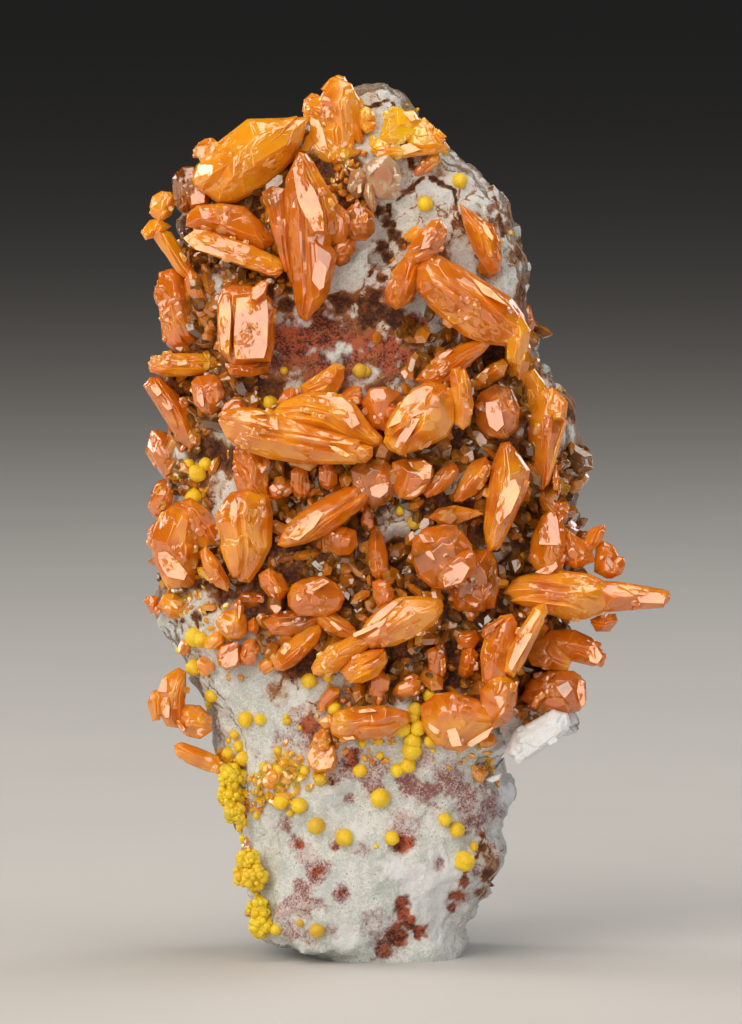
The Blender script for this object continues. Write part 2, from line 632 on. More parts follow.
# %% Colours of the rock
ROCK_PALE = (0.67, 0.71, 0.69, 1.0)
ROCK_LIGHT = (0.93, 0.94, 0.93, 1.0)
ROCK_BROKEN = (0.16, 0.09, 0.055, 1.0)
ROCK_BROKEN_LIGHT = (0.40, 0.33, 0.28, 1.0)
ROCK_BACK = (0.36, 0.35, 0.31, 1.0)
ROCK_BACK_LIGHT = (0.62, 0.62, 0.57, 1.0)
SPECK_BROWN = (0.22, 0.13, 0.08, 1.0)
CRIMSON_DEEP = (0.085, 0.017, 0.01, 1.0)
CRIMSON_LIGHT = (0.56, 0.13, 0.06, 1.0)
PINK_DEEP = (0.30, 0.11, 0.11, 1.0)
PINK_LIGHT = (0.66, 0.40, 0.38, 1.0)
CHALK_WHITE = (0.93, 0.95, 0.98, 1.0)
RUST_DEEP = (0.045, 0.011, 0.004, 1.0)
RUST_LIGHT = (0.40, 0.13, 0.035, 1.0)
RUST_TINGE = (0.62, 0.33, 0.12, 1.0)
print("Rust over pale rock is", RUST_LIGHT[:3], "where it is thin")

# %% Rock material
RAGGED_WAVES = 0.9
# Where faces count as turned aside and as turned back: range of the normal's y.
ASIDE_FACING = (-0.75, -0.25)
BACK_FACING = (-0.1, 0.5)
BACK_WAVES = 0.16
BACK_EDGE = (0.9, 1.25)
# The foot is paler: heights between which the brown of the sides sets in, and its least share.
FOOT_HEIGHTS = (8.0 * MM, 34.0 * MM)
FOOT_SHARE = 0.25
PINK_ON_PALE = 0.55
BLOTCH_SHARES = (0.7, 0.3)
BLOTCH_EDGE = (0.36, 0.64)
VEIN_BEND = 0.35
VEIN_SWING = 3.0
VEIN_SCALE = 0.26
VEIN_HALF = 0.06
VEIN_STRENGTH = 0.6
VEIN_MOTTLE = (0.2, 0.8)
VEIN_STAIN = (0.05, 0.3)
TINGE_SHARE = 0.75
TINGE_STAIN = (0.1, 0.55)
TINGE_LEAST = 0.6
RUST_THICKENS = 0.11
RUST_EDGE = (0.32, 0.58)
ROCK_ROUGHNESS = (0.72, 0.92)


def broken_edge(tree, level, ragged, width=0.25):
    """A stain level turned into a mask with a ragged edge."""
    push = maths(tree, "MULTIPLY", maths(tree, "SUBTRACT", ragged, 0.5), 2.0)
    return soft_step(tree, maths(tree, "ADD", level, push), 0.5 - width, 0.5 + width)


def rusty_veins(tree, place, mottle, stain):
    """The level of rust in the stains and in a net of bent veins between them."""
    inputs = {"Vector": place, "Scale": VEIN_BEND / MM, "Detail": 3.0}
    bent = add_node(tree, "ShaderNodeTexNoise", inputs).outputs["Color"]
    inputs = {0: bent, 1: (VEIN_SWING * MM,) * 3, 2: place}
    bent = add_node(tree, "ShaderNodeVectorMath", inputs, operation="MULTIPLY_ADD").outputs["Vector"]
    inputs = {"Vector": bent, "Scale": VEIN_SCALE / MM}
    cells = add_node(tree, "ShaderNodeTexVoronoi", inputs, feature="DISTANCE_TO_EDGE")
    veins = soft_step(tree, cells.outputs["Distance"], 0.0, VEIN_HALF, VEIN_STRENGTH, 0.0)
    veins = maths(tree, "MULTIPLY", veins, soft_step(tree, mottle, *VEIN_MOTTLE))
    veins = maths(tree, "MULTIPLY", veins, soft_step(tree, stain, *VEIN_STAIN))
    return maths(tree, "ADD", stain, veins)


def ground_colour(tree, place, grain, ragged):
    """The rock without its stains: chalky in front, brown at the sides, grey behind."""
    mottle = grain["Mottle"]
    normal = add_node(tree, "ShaderNodeNewGeometry", {}).outputs["Normal"]
    facing = add_node(tree, "ShaderNodeSeparateXYZ", {"Vector": normal}).outputs["Y"]
    height = add_node(tree, "ShaderNodeSeparateXYZ", {"Vector": place}).outputs["Z"]
    aside = broken_edge(tree, soft_step(tree, facing, *ASIDE_FACING), ragged)
    aside = maths(tree, "MULTIPLY", aside, soft_step(tree, height, *FOOT_HEIGHTS, FOOT_SHARE, 1.0))
    colour = mixed(tree, mottle, ROCK_PALE, ROCK_LIGHT)
    colour = mixed(tree, aside, colour, mixed(tree, mottle, ROCK_BROKEN, ROCK_BROKEN_LIGHT))
    patchy = fine_noise(tree, place, BACK_WAVES, detail=3.0)
    patchy = maths(tree, "ADD", soft_step(tree, facing, *BACK_FACING), patchy)
    behind = soft_step(tree, patchy, *BACK_EDGE)
    colour = mixed(tree, behind, colour, mixed(tree, mottle, ROCK_BACK, ROCK_BACK_LIGHT))
    return mixed(tree, grain["Speck"], colour, SPECK_BROWN)


def make_rock_material():
    """Chalky rock with stains read from the vertices."""
    material, tree, shader, place = new_material("altered_rock")
    grain = add_grain(tree, place, 0.9)
    ragged = fine_noise(tree, place, RAGGED_WAVES, detail=8.0, roughness=0.85)
    mottle = grain["Mottle"]
    stains = add_node(tree, "ShaderNodeAttribute", {}, attribute_name="stain").outputs
    parts = add_node(tree, "ShaderNodeSeparateColor", {"Color": stains["Color"]}).outputs
    colour = ground_colour(tree, place, grain, ragged)
    colour = mixed(tree, broken_edge(tree, parts["Blue"], ragged), colour, CHALK_WHITE)
    pink = broken_edge(tree, parts["Green"], ragged, 0.4)
    pink = maths(tree, "MULTIPLY", pink, soft_step(tree, mottle, 0.0, 1.0, 1.0, PINK_ON_PALE))
    colour = mixed(tree, pink, colour, mixed(tree, mottle, PINK_DEEP, PINK_LIGHT))
    blotch = soft_step(tree, weighted(tree, (ragged, mottle), BLOTCH_SHARES), *BLOTCH_EDGE)
    crimson = mixed(tree, blotch, CRIMSON_DEEP, CRIMSON_LIGHT)
    colour = mixed(tree, broken_edge(tree, parts["Red"], ragged, 0.35), colour, crimson)
    veined = rusty_veins(tree, place, mottle, stains["Alpha"])
    tinged = maths(tree, "MULTIPLY", broken_edge(tree, veined, ragged, 0.5), TINGE_SHARE)
    least = soft_step(tree, veined, *TINGE_STAIN, 0.0, TINGE_LEAST)
    colour = mixed(tree, maths(tree, "MAXIMUM", tinged, least), colour, RUST_TINGE)
    thickened = maths(tree, "MULTIPLY", stains["Alpha"], RUST_THICKENS)
    thin = soft_step(tree, maths(tree, "SUBTRACT", ragged, thickened), *RUST_EDGE)
    rust = mixed(tree, thin, RUST_DEEP, RUST_LIGHT)
    colour = mixed(tree, broken_edge(tree, veined, ragged, 0.2), colour, rust)
    tree.links.new(colour, shader.inputs["Base Color"])
    tree.links.new(soft_step(tree, mottle, 0.0, 1.0, *ROCK_ROUGHNESS), shader.inputs["Roughness"])
    set_values(shader, {"Subsurface Weight": 0.06, "Subsurface Scale": 0.5 * MM})
    fine_bump(tree, shader, grain["Height"], 0.5)
    return material


rock.data.materials.clear()
rock.data.materials.append(make_rock_material())
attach(rock, "root")
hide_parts("matrix")
print("The rock stands for the node matrix")

# %% [markdown]
# ## Finding the rock's surface
# Every small thing below sits on the rock, and the photograph tells only how far across and up.
# The shrinkwrap modifier could press each thing onto the rock. A ray sent straight back from the
# front is simpler: it gives the place, and the way the rock faces there.

# %% Finding the rock's surface
FAR_FRONT = -0.1
INTO = Vector((0, 1, 0))

bm = bmesh.new()
bm.from_mesh(rock.data)
rock_tree = BVHTree.FromBMesh(bm)
bm.free()


def on_rock(across, up):
    """The first place on the rock behind a place seen from the front, and the way it faces."""
    hit = rock_tree.ray_cast(Vector((across * MM, FAR_FRONT, up * MM)), INTO)
    return (hit[0] / MM, hit[1]) if hit[0] is not None else (None, None)


print("In its middle the front of the rock lies at", round(on_rock(0, 40)[0].y, 1), "mm")

# %% [markdown]
# ## Growing a crystal
# Wulfenite grows as flat crystals with sloping edges, cut across at the rim by a narrow face.
# Seen edge-on they look like lenses. In the solid model each one is a block cut by the planes of
# its outline, and a scaled sphere would never get such flat faces. Here the same block gets a
# second row of slopes and a narrow rim, every plane is a little off its ideal place, and the
# edges are rounded, because real faces never meet as sharply as drawn ones. The half sizes are
# along the crystal, across it, and through it.

# %% Crystal faces
PLANS = {
    "lens": [(1, 0), (0.55, 0.88), (-0.55, 0.88), (-1, 0), (-0.55, -0.88), (0.55, -0.88)],
    "tab": [(1, 0.5), (0.5, 1), (-0.5, 1), (-1, 0.5), (-1, -0.5), (-0.5, -1), (0.5, -1), (1, -0.5)],
    "dagger": [(1, 0), (-0.25, 0.95), (-0.8, 0.75), (-1, 0), (-0.8, -0.75), (-0.25, -0.95)],
    "bar": [(1, 0.25), (0.8, 0.9), (-0.8, 0.9), (-1, 0.25), (-1, -0.25), (-0.8, -0.9), (0.8, -0.9),
            (1, -0.25)],
}
TOP_SHARE = {"lens": 0.58, "tab": 0.74, "dagger": 0.46, "bar": 0.66}
# How far a face may be off its ideal place, as shares of its distance.
END_WEAR = (0.93, 1.0)
FACE_WEAR = (0.96, 1.0)
RIM_WEAR = (0.93, 0.97)
LEAN_WEAR = (0.85, 1.15)
SKEW = 0.05
STEEP = 2.3
STEEP_HEIGHT = (0.7 - 0.12, 0.7 + 0.12)
BLOCK_SIZE = 2.4
CUT_ACCURACY = 0.0001
SHORT_EDGE = 2.2


def crystal_planes(habit, half, rng, fine):
    """The faces of a crystal, each a normal and a distance in millimetres, none quite regular."""
    outline = PLANS[habit]
    slope = 1 - TOP_SHARE[habit]
    planes = [(Vector((0, 0, side)), rng.uniform(*END_WEAR)) for side in (1, -1)]
    for start, end in zip(outline, outline[1:] + outline[:1]):
        rim = Vector((end[1] - start[1], start[0] - end[0], 0)).normalized()
        distance = rim.dot(Vector((*start, 0)))
        for side in (1, -1):
            lean = slope * distance * rng.uniform(*LEAN_WEAR)
            skew = Vector((rng.uniform(-SKEW, SKEW), rng.uniform(-SKEW, SKEW), side * lean))
            planes.append((rim + skew, distance * rng.uniform(*FACE_WEAR)))
            if fine:
                steep = Vector((0, 0, side * lean * STEEP))
                height = rng.uniform(*STEEP_HEIGHT)
                planes.append((rim + steep, distance + (STEEP - 1) * lean * height))
        if fine:
            planes.append((rim, distance * rng.uniform(*RIM_WEAR)))
    sized = [(Vector((n.x / half.x, n.y / half.y, n.z / half.z)), distance) for n, distance in planes]
    return [(normal.normalized(), distance / normal.length) for normal, distance in sized]


def cut_block(planes, reach):
    """A block cut by each plane in turn, every cut closed by one face."""
    bm = bmesh.new()
    bmesh.ops.create_cube(bm, size=BLOCK_SIZE * reach)
    for normal, distance in planes:
        cut = bmesh.ops.bisect_plane(
            bm, geom=bm.verts[:] + bm.edges[:] + bm.faces[:], dist=CUT_ACCURACY,
            plane_co=normal * distance, plane_no=normal, clear_outer=True)
        rim = [item for item in cut["geom_cut"] if isinstance(item, bmesh.types.BMEdge)]
        if rim:
            bmesh.ops.contextual_create(bm, geom=rim)
    return bm


def round_edges(bm, radius, segments=2):
    """Drop edges too short to round, then round the others."""
    bmesh.ops.remove_doubles(bm, verts=bm.verts, dist=SHORT_EDGE * radius)
    bmesh.ops.dissolve_degenerate(bm, edges=bm.edges, dist=radius / 4)
    bmesh.ops.bevel(bm, geom=bm.edges[:], offset=radius, offset_type="OFFSET", segments=segments,
                    profile=0.5, affect="EDGES", clamp_overlap=True, material=-1)


trial = cut_block(crystal_planes("lens", Vector((8, 5, 3)), random.Random(1), True), 10)
print("A lens has", len(trial.faces), "faces before its edges are rounded")
trial.free()

# %% [markdown]
# ## Growths on a crystal
# Look closely at a face and it breaks up into plates that grew side by side, all turned the same
# way. Each large crystal here carries a few such plates that stand out by a fraction of a
# millimetre, some smaller tips beside its own, and patches of tiny crystals that catch the
# light. All of them are the same block again at another size, turned a little. Displacing the
# faces by noise would be quicker, but it makes waves, and crystals grow in flat steps.

# %% Axes and marks of a crystal


def crystal_frame(start, end, roll):
    """Axes of a crystal: along it, into the specimen, and through it, then rolled about it."""
    long_axis = (end - start).normalized()
    side = INTO - long_axis * long_axis.y
    side.normalize()
    turn = Matrix((long_axis, side, long_axis.cross(side))).transposed()
    turn = turn @ Matrix.Rotation(math.radians(roll), 3, "X")
    return Matrix.Translation((start + end) / 2) @ turn.to_4x4()


def either(rng):
    """One side or the other."""
    return rng.choice((1, -1))


def unsteady(rng, degrees):
    """A small turn about every axis."""
    return Euler([math.radians(rng.gauss(0, degrees)) for _ in range(3)]).to_matrix().to_4x4()


def new_phase(rng):
    """Where a crystal's pattern of growth starts, so that no two look alike."""
    return Vector([rng.uniform(0, 50) for _ in range(3)])


def mark_body(bm, tone, phase):
    """Give a body's corners their place along the crystal and their tone."""
    along = bm.loops.layers.float_vector.new("along")
    tones = bm.loops.layers.float.new("tone")
    for face in bm.faces:
        for loop in face.loops:
            loop[along] = loop.vert.co + phase
            loop[tones] = tone


def body_object(bm, matrix, collection):
    """Turn a body in millimetres into an object in metres."""
    bmesh.ops.transform(bm, matrix=Matrix.Scale(MM, 4) @ matrix, verts=bm.verts)
    bmesh.ops.recalc_face_normals(bm, faces=bm.faces)
    collection.objects.link(bpy.data.objects.new("body", mesh_from(bm, "body")))


print("A frame rolled by 90 degrees puts the width at", crystal_frame(
    Vector((0, 0, 0)), Vector((1, 0, 0)), 90).col[1][:3])

# %% Plates and tips
PLATE_EVERY = 2.1
# Shares of the crystal's half sizes.
PLATE_SHARES = ((0.4, 0.8), (0.5, 0.98), (0.5, 1.0))
PLATE_RISE = (0.08, 0.3)
PLATE_WIDER = 0.6
PLATE_SHIFTS = ((0.3, 0.85), (0.6, 1.0))
PLATE_TURN = 1.6
TIPS = 2
TIPS_FROM = 2.5
TIP_SHARES = ((0.3, 0.45), (0.35, 0.6), (0.5, 0.8))
TIP_REACH = 1.05
TIP_SHIFT = 0.3
TIP_TURN = 14


def plates(rng, half):
    """Half sizes and places of the plates that grew parallel to a crystal."""
    for _ in range(round(2 * half.x / PLATE_EVERY)):
        size = Vector([rng.uniform(*share) for share in PLATE_SHARES]) * half
        rise = rng.uniform(*PLATE_RISE)
        along = either(rng) * (half.x - size.x) * rng.uniform(*PLATE_SHIFTS[0])
        wide = half.y - size.y + rise * PLATE_WIDER
        wide *= either(rng) * rng.uniform(*PLATE_SHIFTS[1])
        place = Vector((along, wide, either(rng) * (half.z - size.z + rise)))
        yield size, Matrix.Translation(place) @ unsteady(rng, PLATE_TURN)
    for _ in range(TIPS if half.x > TIPS_FROM else 0):
        size = Vector([side * rng.uniform(*share) for side, share in zip(half, TIP_SHARES)])
        along = either(rng) * (half.x - size.x * TIP_REACH)
        shifts = [rng.uniform(-TIP_SHIFT, TIP_SHIFT) for _ in range(2)]
        place = Vector((along, shifts[0] * half.y, shifts[1] * half.z))
        turn = Euler((0, 0, math.radians(rng.uniform(-TIP_TURN, TIP_TURN)))).to_matrix().to_4x4()
        yield size, Matrix.Translation(place) @ turn


print("A crystal of 12 mm carries", round(12 / PLATE_EVERY), "plates and", TIPS, "tips")

# %% Crumbs
CRUMB_EVERY = 2.4
CRUMB_SIZE = (0.28, 0.62)
CRUMB_WIDTH = 0.7
CRUMB_THICKNESS = (0.1, 0.22)
CRUMB_SINK = (-0.05, 0.04)
CRUMB_TURN = 5
CRUMB_TONE = (-0.1, 0.15)
CRUMB_SPREAD = (0.1, 0.22)
OUTSIDE = 1.5


def crumbs(rng, surface, half):
    """Half sizes and places of tiny crystals in one patch of a crystal's surface."""
    middle = Vector((rng.uniform(-0.7, 0.7) * half.x, either(rng) * half.y * rng.uniform(0.2, 1.0),
                     either(rng) * half.z * rng.uniform(0.3, 1.0)))
    spread = rng.uniform(*CRUMB_SPREAD) * half.x
    for _ in range(round(half.x * CRUMB_EVERY)):
        outside = (middle + Vector([rng.gauss(0, spread) for _ in range(3)])) * OUTSIDE
        axis_place = Vector((outside.x / OUTSIDE, 0, 0))
        hit = surface.ray_cast(outside, axis_place - outside)
        if hit[0] is not None:
            size = Vector((rng.uniform(*CRUMB_SIZE), rng.uniform(*CRUMB_SIZE) * CRUMB_WIDTH,
                           rng.uniform(*CRUMB_THICKNESS)))
            turn = unsteady(rng, CRUMB_TURN)
            yield size, Matrix.Translation(hit[0] + hit[1] * rng.uniform(*CRUMB_SINK)) @ turn


print("A patch on a crystal of 12 mm has up to", round(6 * CRUMB_EVERY), "crumbs")

# %% One crystal with its growths
ROUNDING = 0.028
ROUNDING_RANGE = (0.05, 0.17)
PLATE_ROUNDING = 0.7
PLATE_TONE = 0.06
FINE_FROM = 1.5
TWO_PATCHES_FROM = 4


def grow_crystal(crystal, rng, collection):
    """The bodies of one crystal: itself, its plates and tips, and its crumbs."""
    habit, start, end, width, thickness, roll, tone = crystal
    start, end = Vector(start), Vector(end)
    half = Vector(((end - start).length, width, thickness)) / 2
    frame_of = crystal_frame(start, end, roll)
    rounding = clamped(ROUNDING * 2 * half.z, *ROUNDING_RANGE)
    phase = new_phase(rng)
    main = cut_block(crystal_planes(habit, half, rng, True), half.length)
    surface = BVHTree.FromBMesh(main)
    round_edges(main, rounding)
    mark_body(main, tone, phase)
    body_object(main, frame_of, collection)
    for size, place in plates(rng, half):
        plate = cut_block(crystal_planes(habit, size, rng, size.x > FINE_FROM), size.length)
        round_edges(plate, rounding * PLATE_ROUNDING)
        bmesh.ops.transform(plate, matrix=place, verts=plate.verts)
        mark_body(plate, tone + rng.uniform(-PLATE_TONE, PLATE_TONE), phase)
        body_object(plate, frame_of, collection)
    for _ in range(1 + (half.x > TWO_PATCHES_FROM)):
        for size, place in crumbs(rng, surface, half):
            crumb = cut_block(crystal_planes("tab", size, rng, False), size.length)
            bmesh.ops.transform(crumb, matrix=place, verts=crumb.verts)
            mark_body(crumb, tone + rng.uniform(*CRUMB_TONE), phase)
            body_object(crumb, frame_of, collection)


# %% [markdown]
# ## Crystals drawn by their outline
# On the front the photograph shows each crystal's outline. Such a crystal is a block again, but
# its planes pass through the edges of the outline and lean towards the viewer, steep at the rim
# and gentler further in, and one plane closes the front. Four slopes say how gently the faces
# lean that look up, right, down and left. The lean of the front says which way it looks: one
# lean mirrors the large lamp, and makes the pale faces of the photograph. Where a pale face is
# only a part of a crystal, it is a thin step of its own that stands just in front of it. An
# outline pushed back with bevelled edges would be simpler, but all its faces would look ahead.

# %% Planes through an outline
# How the front leans, across and up.
LEANS = {
    "lamp": (-0.27, 0.34), "lampb": (-0.20, 0.27), "up": (0.10, 0.20), "down": (0.05, -0.18),
    "left": (-0.30, 0.0), "right": (0.30, 0.02), "ahead": (0.03, 0.0),
}
# Slopes in degrees of the faces that look up, right, down and left.
SLOPES = {
    "roof": (48, 48, 42, 42), "crest": (44, 32, 36, 32), "ring": (26, 24, 40, 26),
    "lower": (30, 50, 75, 70), "wall": (72, 72, 72, 72), "face": (78, 78, 78, 78),
}
SLOPE_LOOSE = 4
STEEPER = 24
STEEPEST = 82
RIM_SHARE = 0.3
RIM_HALF = 0.12
BACK_SLOPE = 75


def seen_at(across, up, depth):
    """The place at a depth that the camera sees where it sees a place on the view plane."""
    eye = camera.location / MM
    through = Vector((across, VIEW_CENTRE.y / MM, up))
    return eye + (through - eye) * (depth - eye.y) / (through.y - eye.y)


def edge_slope(slopes, outward):
    """The slope of the face at an edge, between those of the four ways it may look."""
    shares = (max(outward.z, 0), max(outward.x, 0), max(-outward.z, 0), max(-outward.x, 0))
    return sum(slope * share * share for slope, share in zip(slopes, shares))


def tilted(outward, slope, side=-1):
    """A unit normal leaning from the view axis towards an outward direction."""
    angle = math.radians(slope)
    return outward * math.sin(angle) + Vector((0, side * math.cos(angle), 0))


def outline_planes(edges, lean, slopes, rise, back, rng):
    """Faces through the edges of an outline round the origin, closed in front and behind."""
    front = Vector((lean.x, -1, lean.y)).normalized()
    planes = [(front, rise * -front.y), (INTO, back)]
    for point, outward in edges:
        slope = edge_slope(slopes, outward) + rng.uniform(-SLOPE_LOOSE, SLOPE_LOOSE)
        steep = min(slope + STEEPER, STEEPEST)
        height = RIM_SHARE * rise
        inset = outward * (height - RIM_HALF) / math.tan(math.radians(steep))
        planes.append((outward, outward.dot(point)))
        for corner, normal in ((point - INTO * RIM_HALF, tilted(outward, steep)),
                               (point - inset - INTO * height, tilted(outward, slope)),
                               (point + INTO * RIM_HALF, tilted(outward, BACK_SLOPE, 1))):
            planes.append((normal, normal.dot(corner)))
    return planes


print("The front of a lamp crystal leans", round(math.degrees(math.atan(LEANS["lamp"][1]))), "degrees")

# %% Steps and crumbs on a front
TERRACE_EVERY = 2.0
TERRACES = 4
TERRACE_SHARES = ((0.4, 0.85), (0.85, 1.0), (0.45, 0.92))
TERRACE_SHIFTS = ((0.3, 0.95), (0.4, 1.0))
TERRACE_TURN = 1.8
STAND_OUT = (0.03, 0.13)
FRONT_CRUMB_SINK = (-0.04, 0.05)


def front_of(surfaces, spot):
    """How far forward the bodies made so far reach at a place, or nothing."""
    start = Vector((spot.x, FAR_FRONT / MM, spot.z))
    hits = [surface.ray_cast(start, INTO)[0] for surface in surfaces]
    depths = [hit.y for hit in hits if hit is not None]
    return min(depths) if depths else None


def terraces(rng, half, rise):
    """Shares of size and places of thin steps on the front of an outlined crystal."""
    for _ in range(min(round(half.x / TERRACE_EVERY) + 1, TERRACES)):
        share = Vector([rng.uniform(*bounds) for bounds in TERRACE_SHARES])
        stand_out = rng.uniform(*STAND_OUT)
        along = either(rng) * half.x * (1 - share.x) * rng.uniform(*TERRACE_SHIFTS[0])
        wide = either(rng) * half.z * (1 - share.z) * rng.uniform(*TERRACE_SHIFTS[1])
        place = Vector((along, -rise * (1 - share.y) - stand_out, wide))
        turn = unsteady(rng, TERRACE_TURN)
        yield Matrix.Translation(place) @ turn @ Matrix.Diagonal((*share, 1))


def front_crumbs(rng, surface, middle, spread, count):
    """Places of tiny crystals on a patch of a body's front, in the specimen's axes."""
    for _ in range(count):
        start = Vector((rng.gauss(middle.x, spread), FAR_FRONT / MM, rng.gauss(middle.z, spread)))
        hit = surface.ray_cast(start, INTO)
        if hit[0] is not None:
            yield hit[0] + hit[1] * rng.uniform(*FRONT_CRUMB_SINK)


print("A crystal has up to", TERRACES, "steps on its front")

# %% Outlined crystals
LEAN_LOOSE = 0.02
BURIED = 0.8
BACK_RANGE = (1.6, 7.0)
BACK_UNKNOWN = 2.4
STEP_BACK = 2.2
BLOCK_MARGIN = 3
OUTLINED_ROUNDING = 0.016
OUTLINED_ROUNDING_RANGE = (0.03, 0.09)
TERRACE_ROUNDING = 0.6
TERRACE_TONE = 0.08
FRONT_PATCHES_FROM = 3
FRONT_PATCH_SPREAD = (0.4, 1.0)
FRONT_CRUMB_THICKNESS = (0.1, 0.24)
FRONT_CRUMB_TURN = 7


def step_depth(flat, middle, lean, lift, surfaces):
    """The depth of a step that stands just in front of the bodies made before it."""
    places = [seen_at(p.x, p.z, surfaces[0][1]) for p in flat + [middle]]
    made = [surface for surface, _ in surfaces]
    found = [(front_of(made, place), place - places[-1]) for place in places]
    found = [y - lean.x * off.x - lean.y * off.z for y, off in found if y is not None]
    return (min(found) if found else surfaces[0][1]) - lift


def add_front_patch(rng, surface, middle, count, crystal_turn, tone, phase, frame_of, collection):
    """A patch of tiny crystals on an outlined crystal's front."""
    centre = frame_of.translation
    for place in front_crumbs(rng, surface, middle, rng.uniform(*FRONT_PATCH_SPREAD), count):
        size = Vector((rng.uniform(*CRUMB_SIZE), rng.uniform(*FRONT_CRUMB_THICKNESS),
                       rng.uniform(*CRUMB_SIZE) * CRUMB_WIDTH))
        crumb = cut_block(crystal_planes("tab", size, rng, False), size.length)
        tip = unsteady(rng, FRONT_CRUMB_TURN)
        local = Matrix.Translation(crystal_turn @ (place - centre)) @ tip
        bmesh.ops.transform(crumb, matrix=local, verts=crumb.verts)
        mark_body(crumb, tone + rng.uniform(*CRUMB_TONE), phase)
        body_object(crumb, frame_of, collection)


def grow_outlined(row, rng, collection, surfaces):
    """The bodies of one outlined crystal, or one step on the crystals made before it."""
    lean_name, slope_name, depth, rise, tone, *outline = row
    is_step = slope_name == "face"
    lean = Vector(LEANS[lean_name])
    lean += Vector((rng.gauss(0, LEAN_LOOSE), rng.gauss(0, LEAN_LOOSE)))
    points = points_of(outline)
    order = geometry.convex_hull_2d([Vector(point) for point in points])
    flat = [Vector((points[i][0], 0, points[i][1])) for i in order]
    middle = sum(flat, Vector()) / len(flat)
    if is_step:
        depth = step_depth(flat, middle, lean, depth, surfaces)
        rise = 0.0
    corners = [seen_at(p.x, p.z, depth) for p in flat]
    centre = seen_at(middle.x, middle.z, depth)
    pairs = [(a, b) for a in corners for b in corners]
    far_pair = max(pairs, key=lambda pair: (pair[0] - pair[1]).length)
    frame_of = crystal_frame(*far_pair, 0)
    frame_of.translation = centre
    turn = frame_of.to_3x3().transposed()
    spot, _ = on_rock(centre.x, centre.z)
    back = clamped((spot.y - depth if spot else BACK_UNKNOWN) + BURIED, *BACK_RANGE)
    edges = []
    for start, end in zip(corners, corners[1:] + corners[:1]):
        outward = Vector((end.z - start.z, 0, start.x - end.x)).normalized()
        edges.append((start - centre, outward))
    slopes = SLOPES[slope_name]
    planes = outline_planes(edges, lean, slopes, rise, STEP_BACK if is_step else back, rng)
    planes = [(turn @ normal, distance) for normal, distance in planes]
    spans = [[(turn @ (corner - centre))[axis] for corner in corners] for axis in (0, 2)]
    length, width = [max(span) - min(span) for span in spans]
    half = Vector((length / 2, back, width / 2))
    reach = max(half) + BLOCK_MARGIN
    rounding = clamped(OUTLINED_ROUNDING * half.z * 2, *OUTLINED_ROUNDING_RANGE)
    phase = new_phase(rng)
    main = cut_block(planes, reach)
    world = main.copy()
    bmesh.ops.transform(world, matrix=frame_of, verts=world.verts)
    surface = BVHTree.FromBMesh(world)
    world.free()
    surfaces.append((surface, depth))
    round_edges(main, OUTLINED_ROUNDING_RANGE[0] if is_step else rounding)
    mark_body(main, tone, phase)
    body_object(main, frame_of, collection)
    if is_step:
        return
    for step in terraces(rng, half, rise) if slope_name != "wall" else ():
        plate = cut_block(planes, reach)
        bmesh.ops.transform(plate, matrix=step, verts=plate.verts)
        round_edges(plate, rounding * TERRACE_ROUNDING, 1)
        mark_body(plate, tone + rng.uniform(-TERRACE_TONE, TERRACE_TONE), phase)
        body_object(plate, frame_of, collection)
    count = round(half.x * CRUMB_EVERY)
    for _ in range(1 + (half.x > FRONT_PATCHES_FROM)):
        aside = Vector((rng.uniform(-0.7, 0.7) * half.x, 0, rng.uniform(-0.7, 0.7) * half.z))
        add_front_patch(rng, surface, centre + aside, count, turn, tone, phase, frame_of, collection)


print("An outlined crystal reaches", BURIED, "mm into the rock")

# %% [markdown]
# ## One solid from a cluster
# Crystals of one cluster grew through each other. Left as separate closed bodies they would look
# joined, but light inside them would meet walls that the real cluster doesn't have. A Boolean
# union makes one closed solid of them. Its manifold solver is quick with so many bodies.

# %% Joining a cluster
SHARP_ANGLE = 33.0


def unite(name, bodies):
    """One closed solid from the bodies in a collection."""
    first = bodies.objects[0]
    bodies.objects.unlink(first)
    bpy.context.scene.collection.objects.link(first)
    union = first.modifiers.new("union", "BOOLEAN")
    union.operation = "UNION"
    union.solver = "MANIFOLD"
    union.operand_type = "COLLECTION"
    union.collection = bodies
    bpy.context.view_layer.update()
    graph = bpy.context.evaluated_depsgraph_get()
    mesh = bpy.data.meshes.new_from_object(first.evaluated_get(graph))
    mesh.name = name
    for body in [first, *bodies.objects]:
        spent = body.data
        bpy.data.objects.remove(body, do_unlink=True)
        bpy.data.meshes.remove(spent)
    bpy.data.collections.remove(bodies)
    return mesh


def new_bodies():
    """A collection for the bodies of one cluster."""
    bodies = bpy.data.collections.new("bodies")
    bpy.context.scene.collection.children.link(bodies)
    return bodies


def finish_crystals(name, mesh, material):
    """Crystals as one object: flat faces shaded flat, rounded edges smooth."""
    mesh.materials.clear()
    mesh.materials.append(material)
    mesh.shade_smooth()
    mesh.set_sharp_from_angle(angle=math.radians(SHARP_ANGLE))
    obj = add_object(name, mesh)
    weighted = obj.modifiers.new("flat_faces", "WEIGHTED_NORMAL")
    weighted.keep_sharp = True
    return obj


print("Edges sharper than", SHARP_ANGLE, "degrees stay sharp")

# %% [markdown]
# ## The crystals' finish
# Wulfenite is bright and translucent. Light goes a millimetre or two into it and comes out
# orange, and where a crystal is thin or clear it glows yellow. Its refractive index is so high
# that a face mirrors the lamp strongly. Most crystals here are nearly opaque, so they are
# subsurface light under a strongly reflecting surface. Glass with a colour would look empty.
# Only the clear ones also have plain transmission and absorption. Growth lines run along each
# crystal, and patches of its faces are broken into tiny steps that sparkle. The corner
# attributes tell the material each crystal's own axes and its tone.

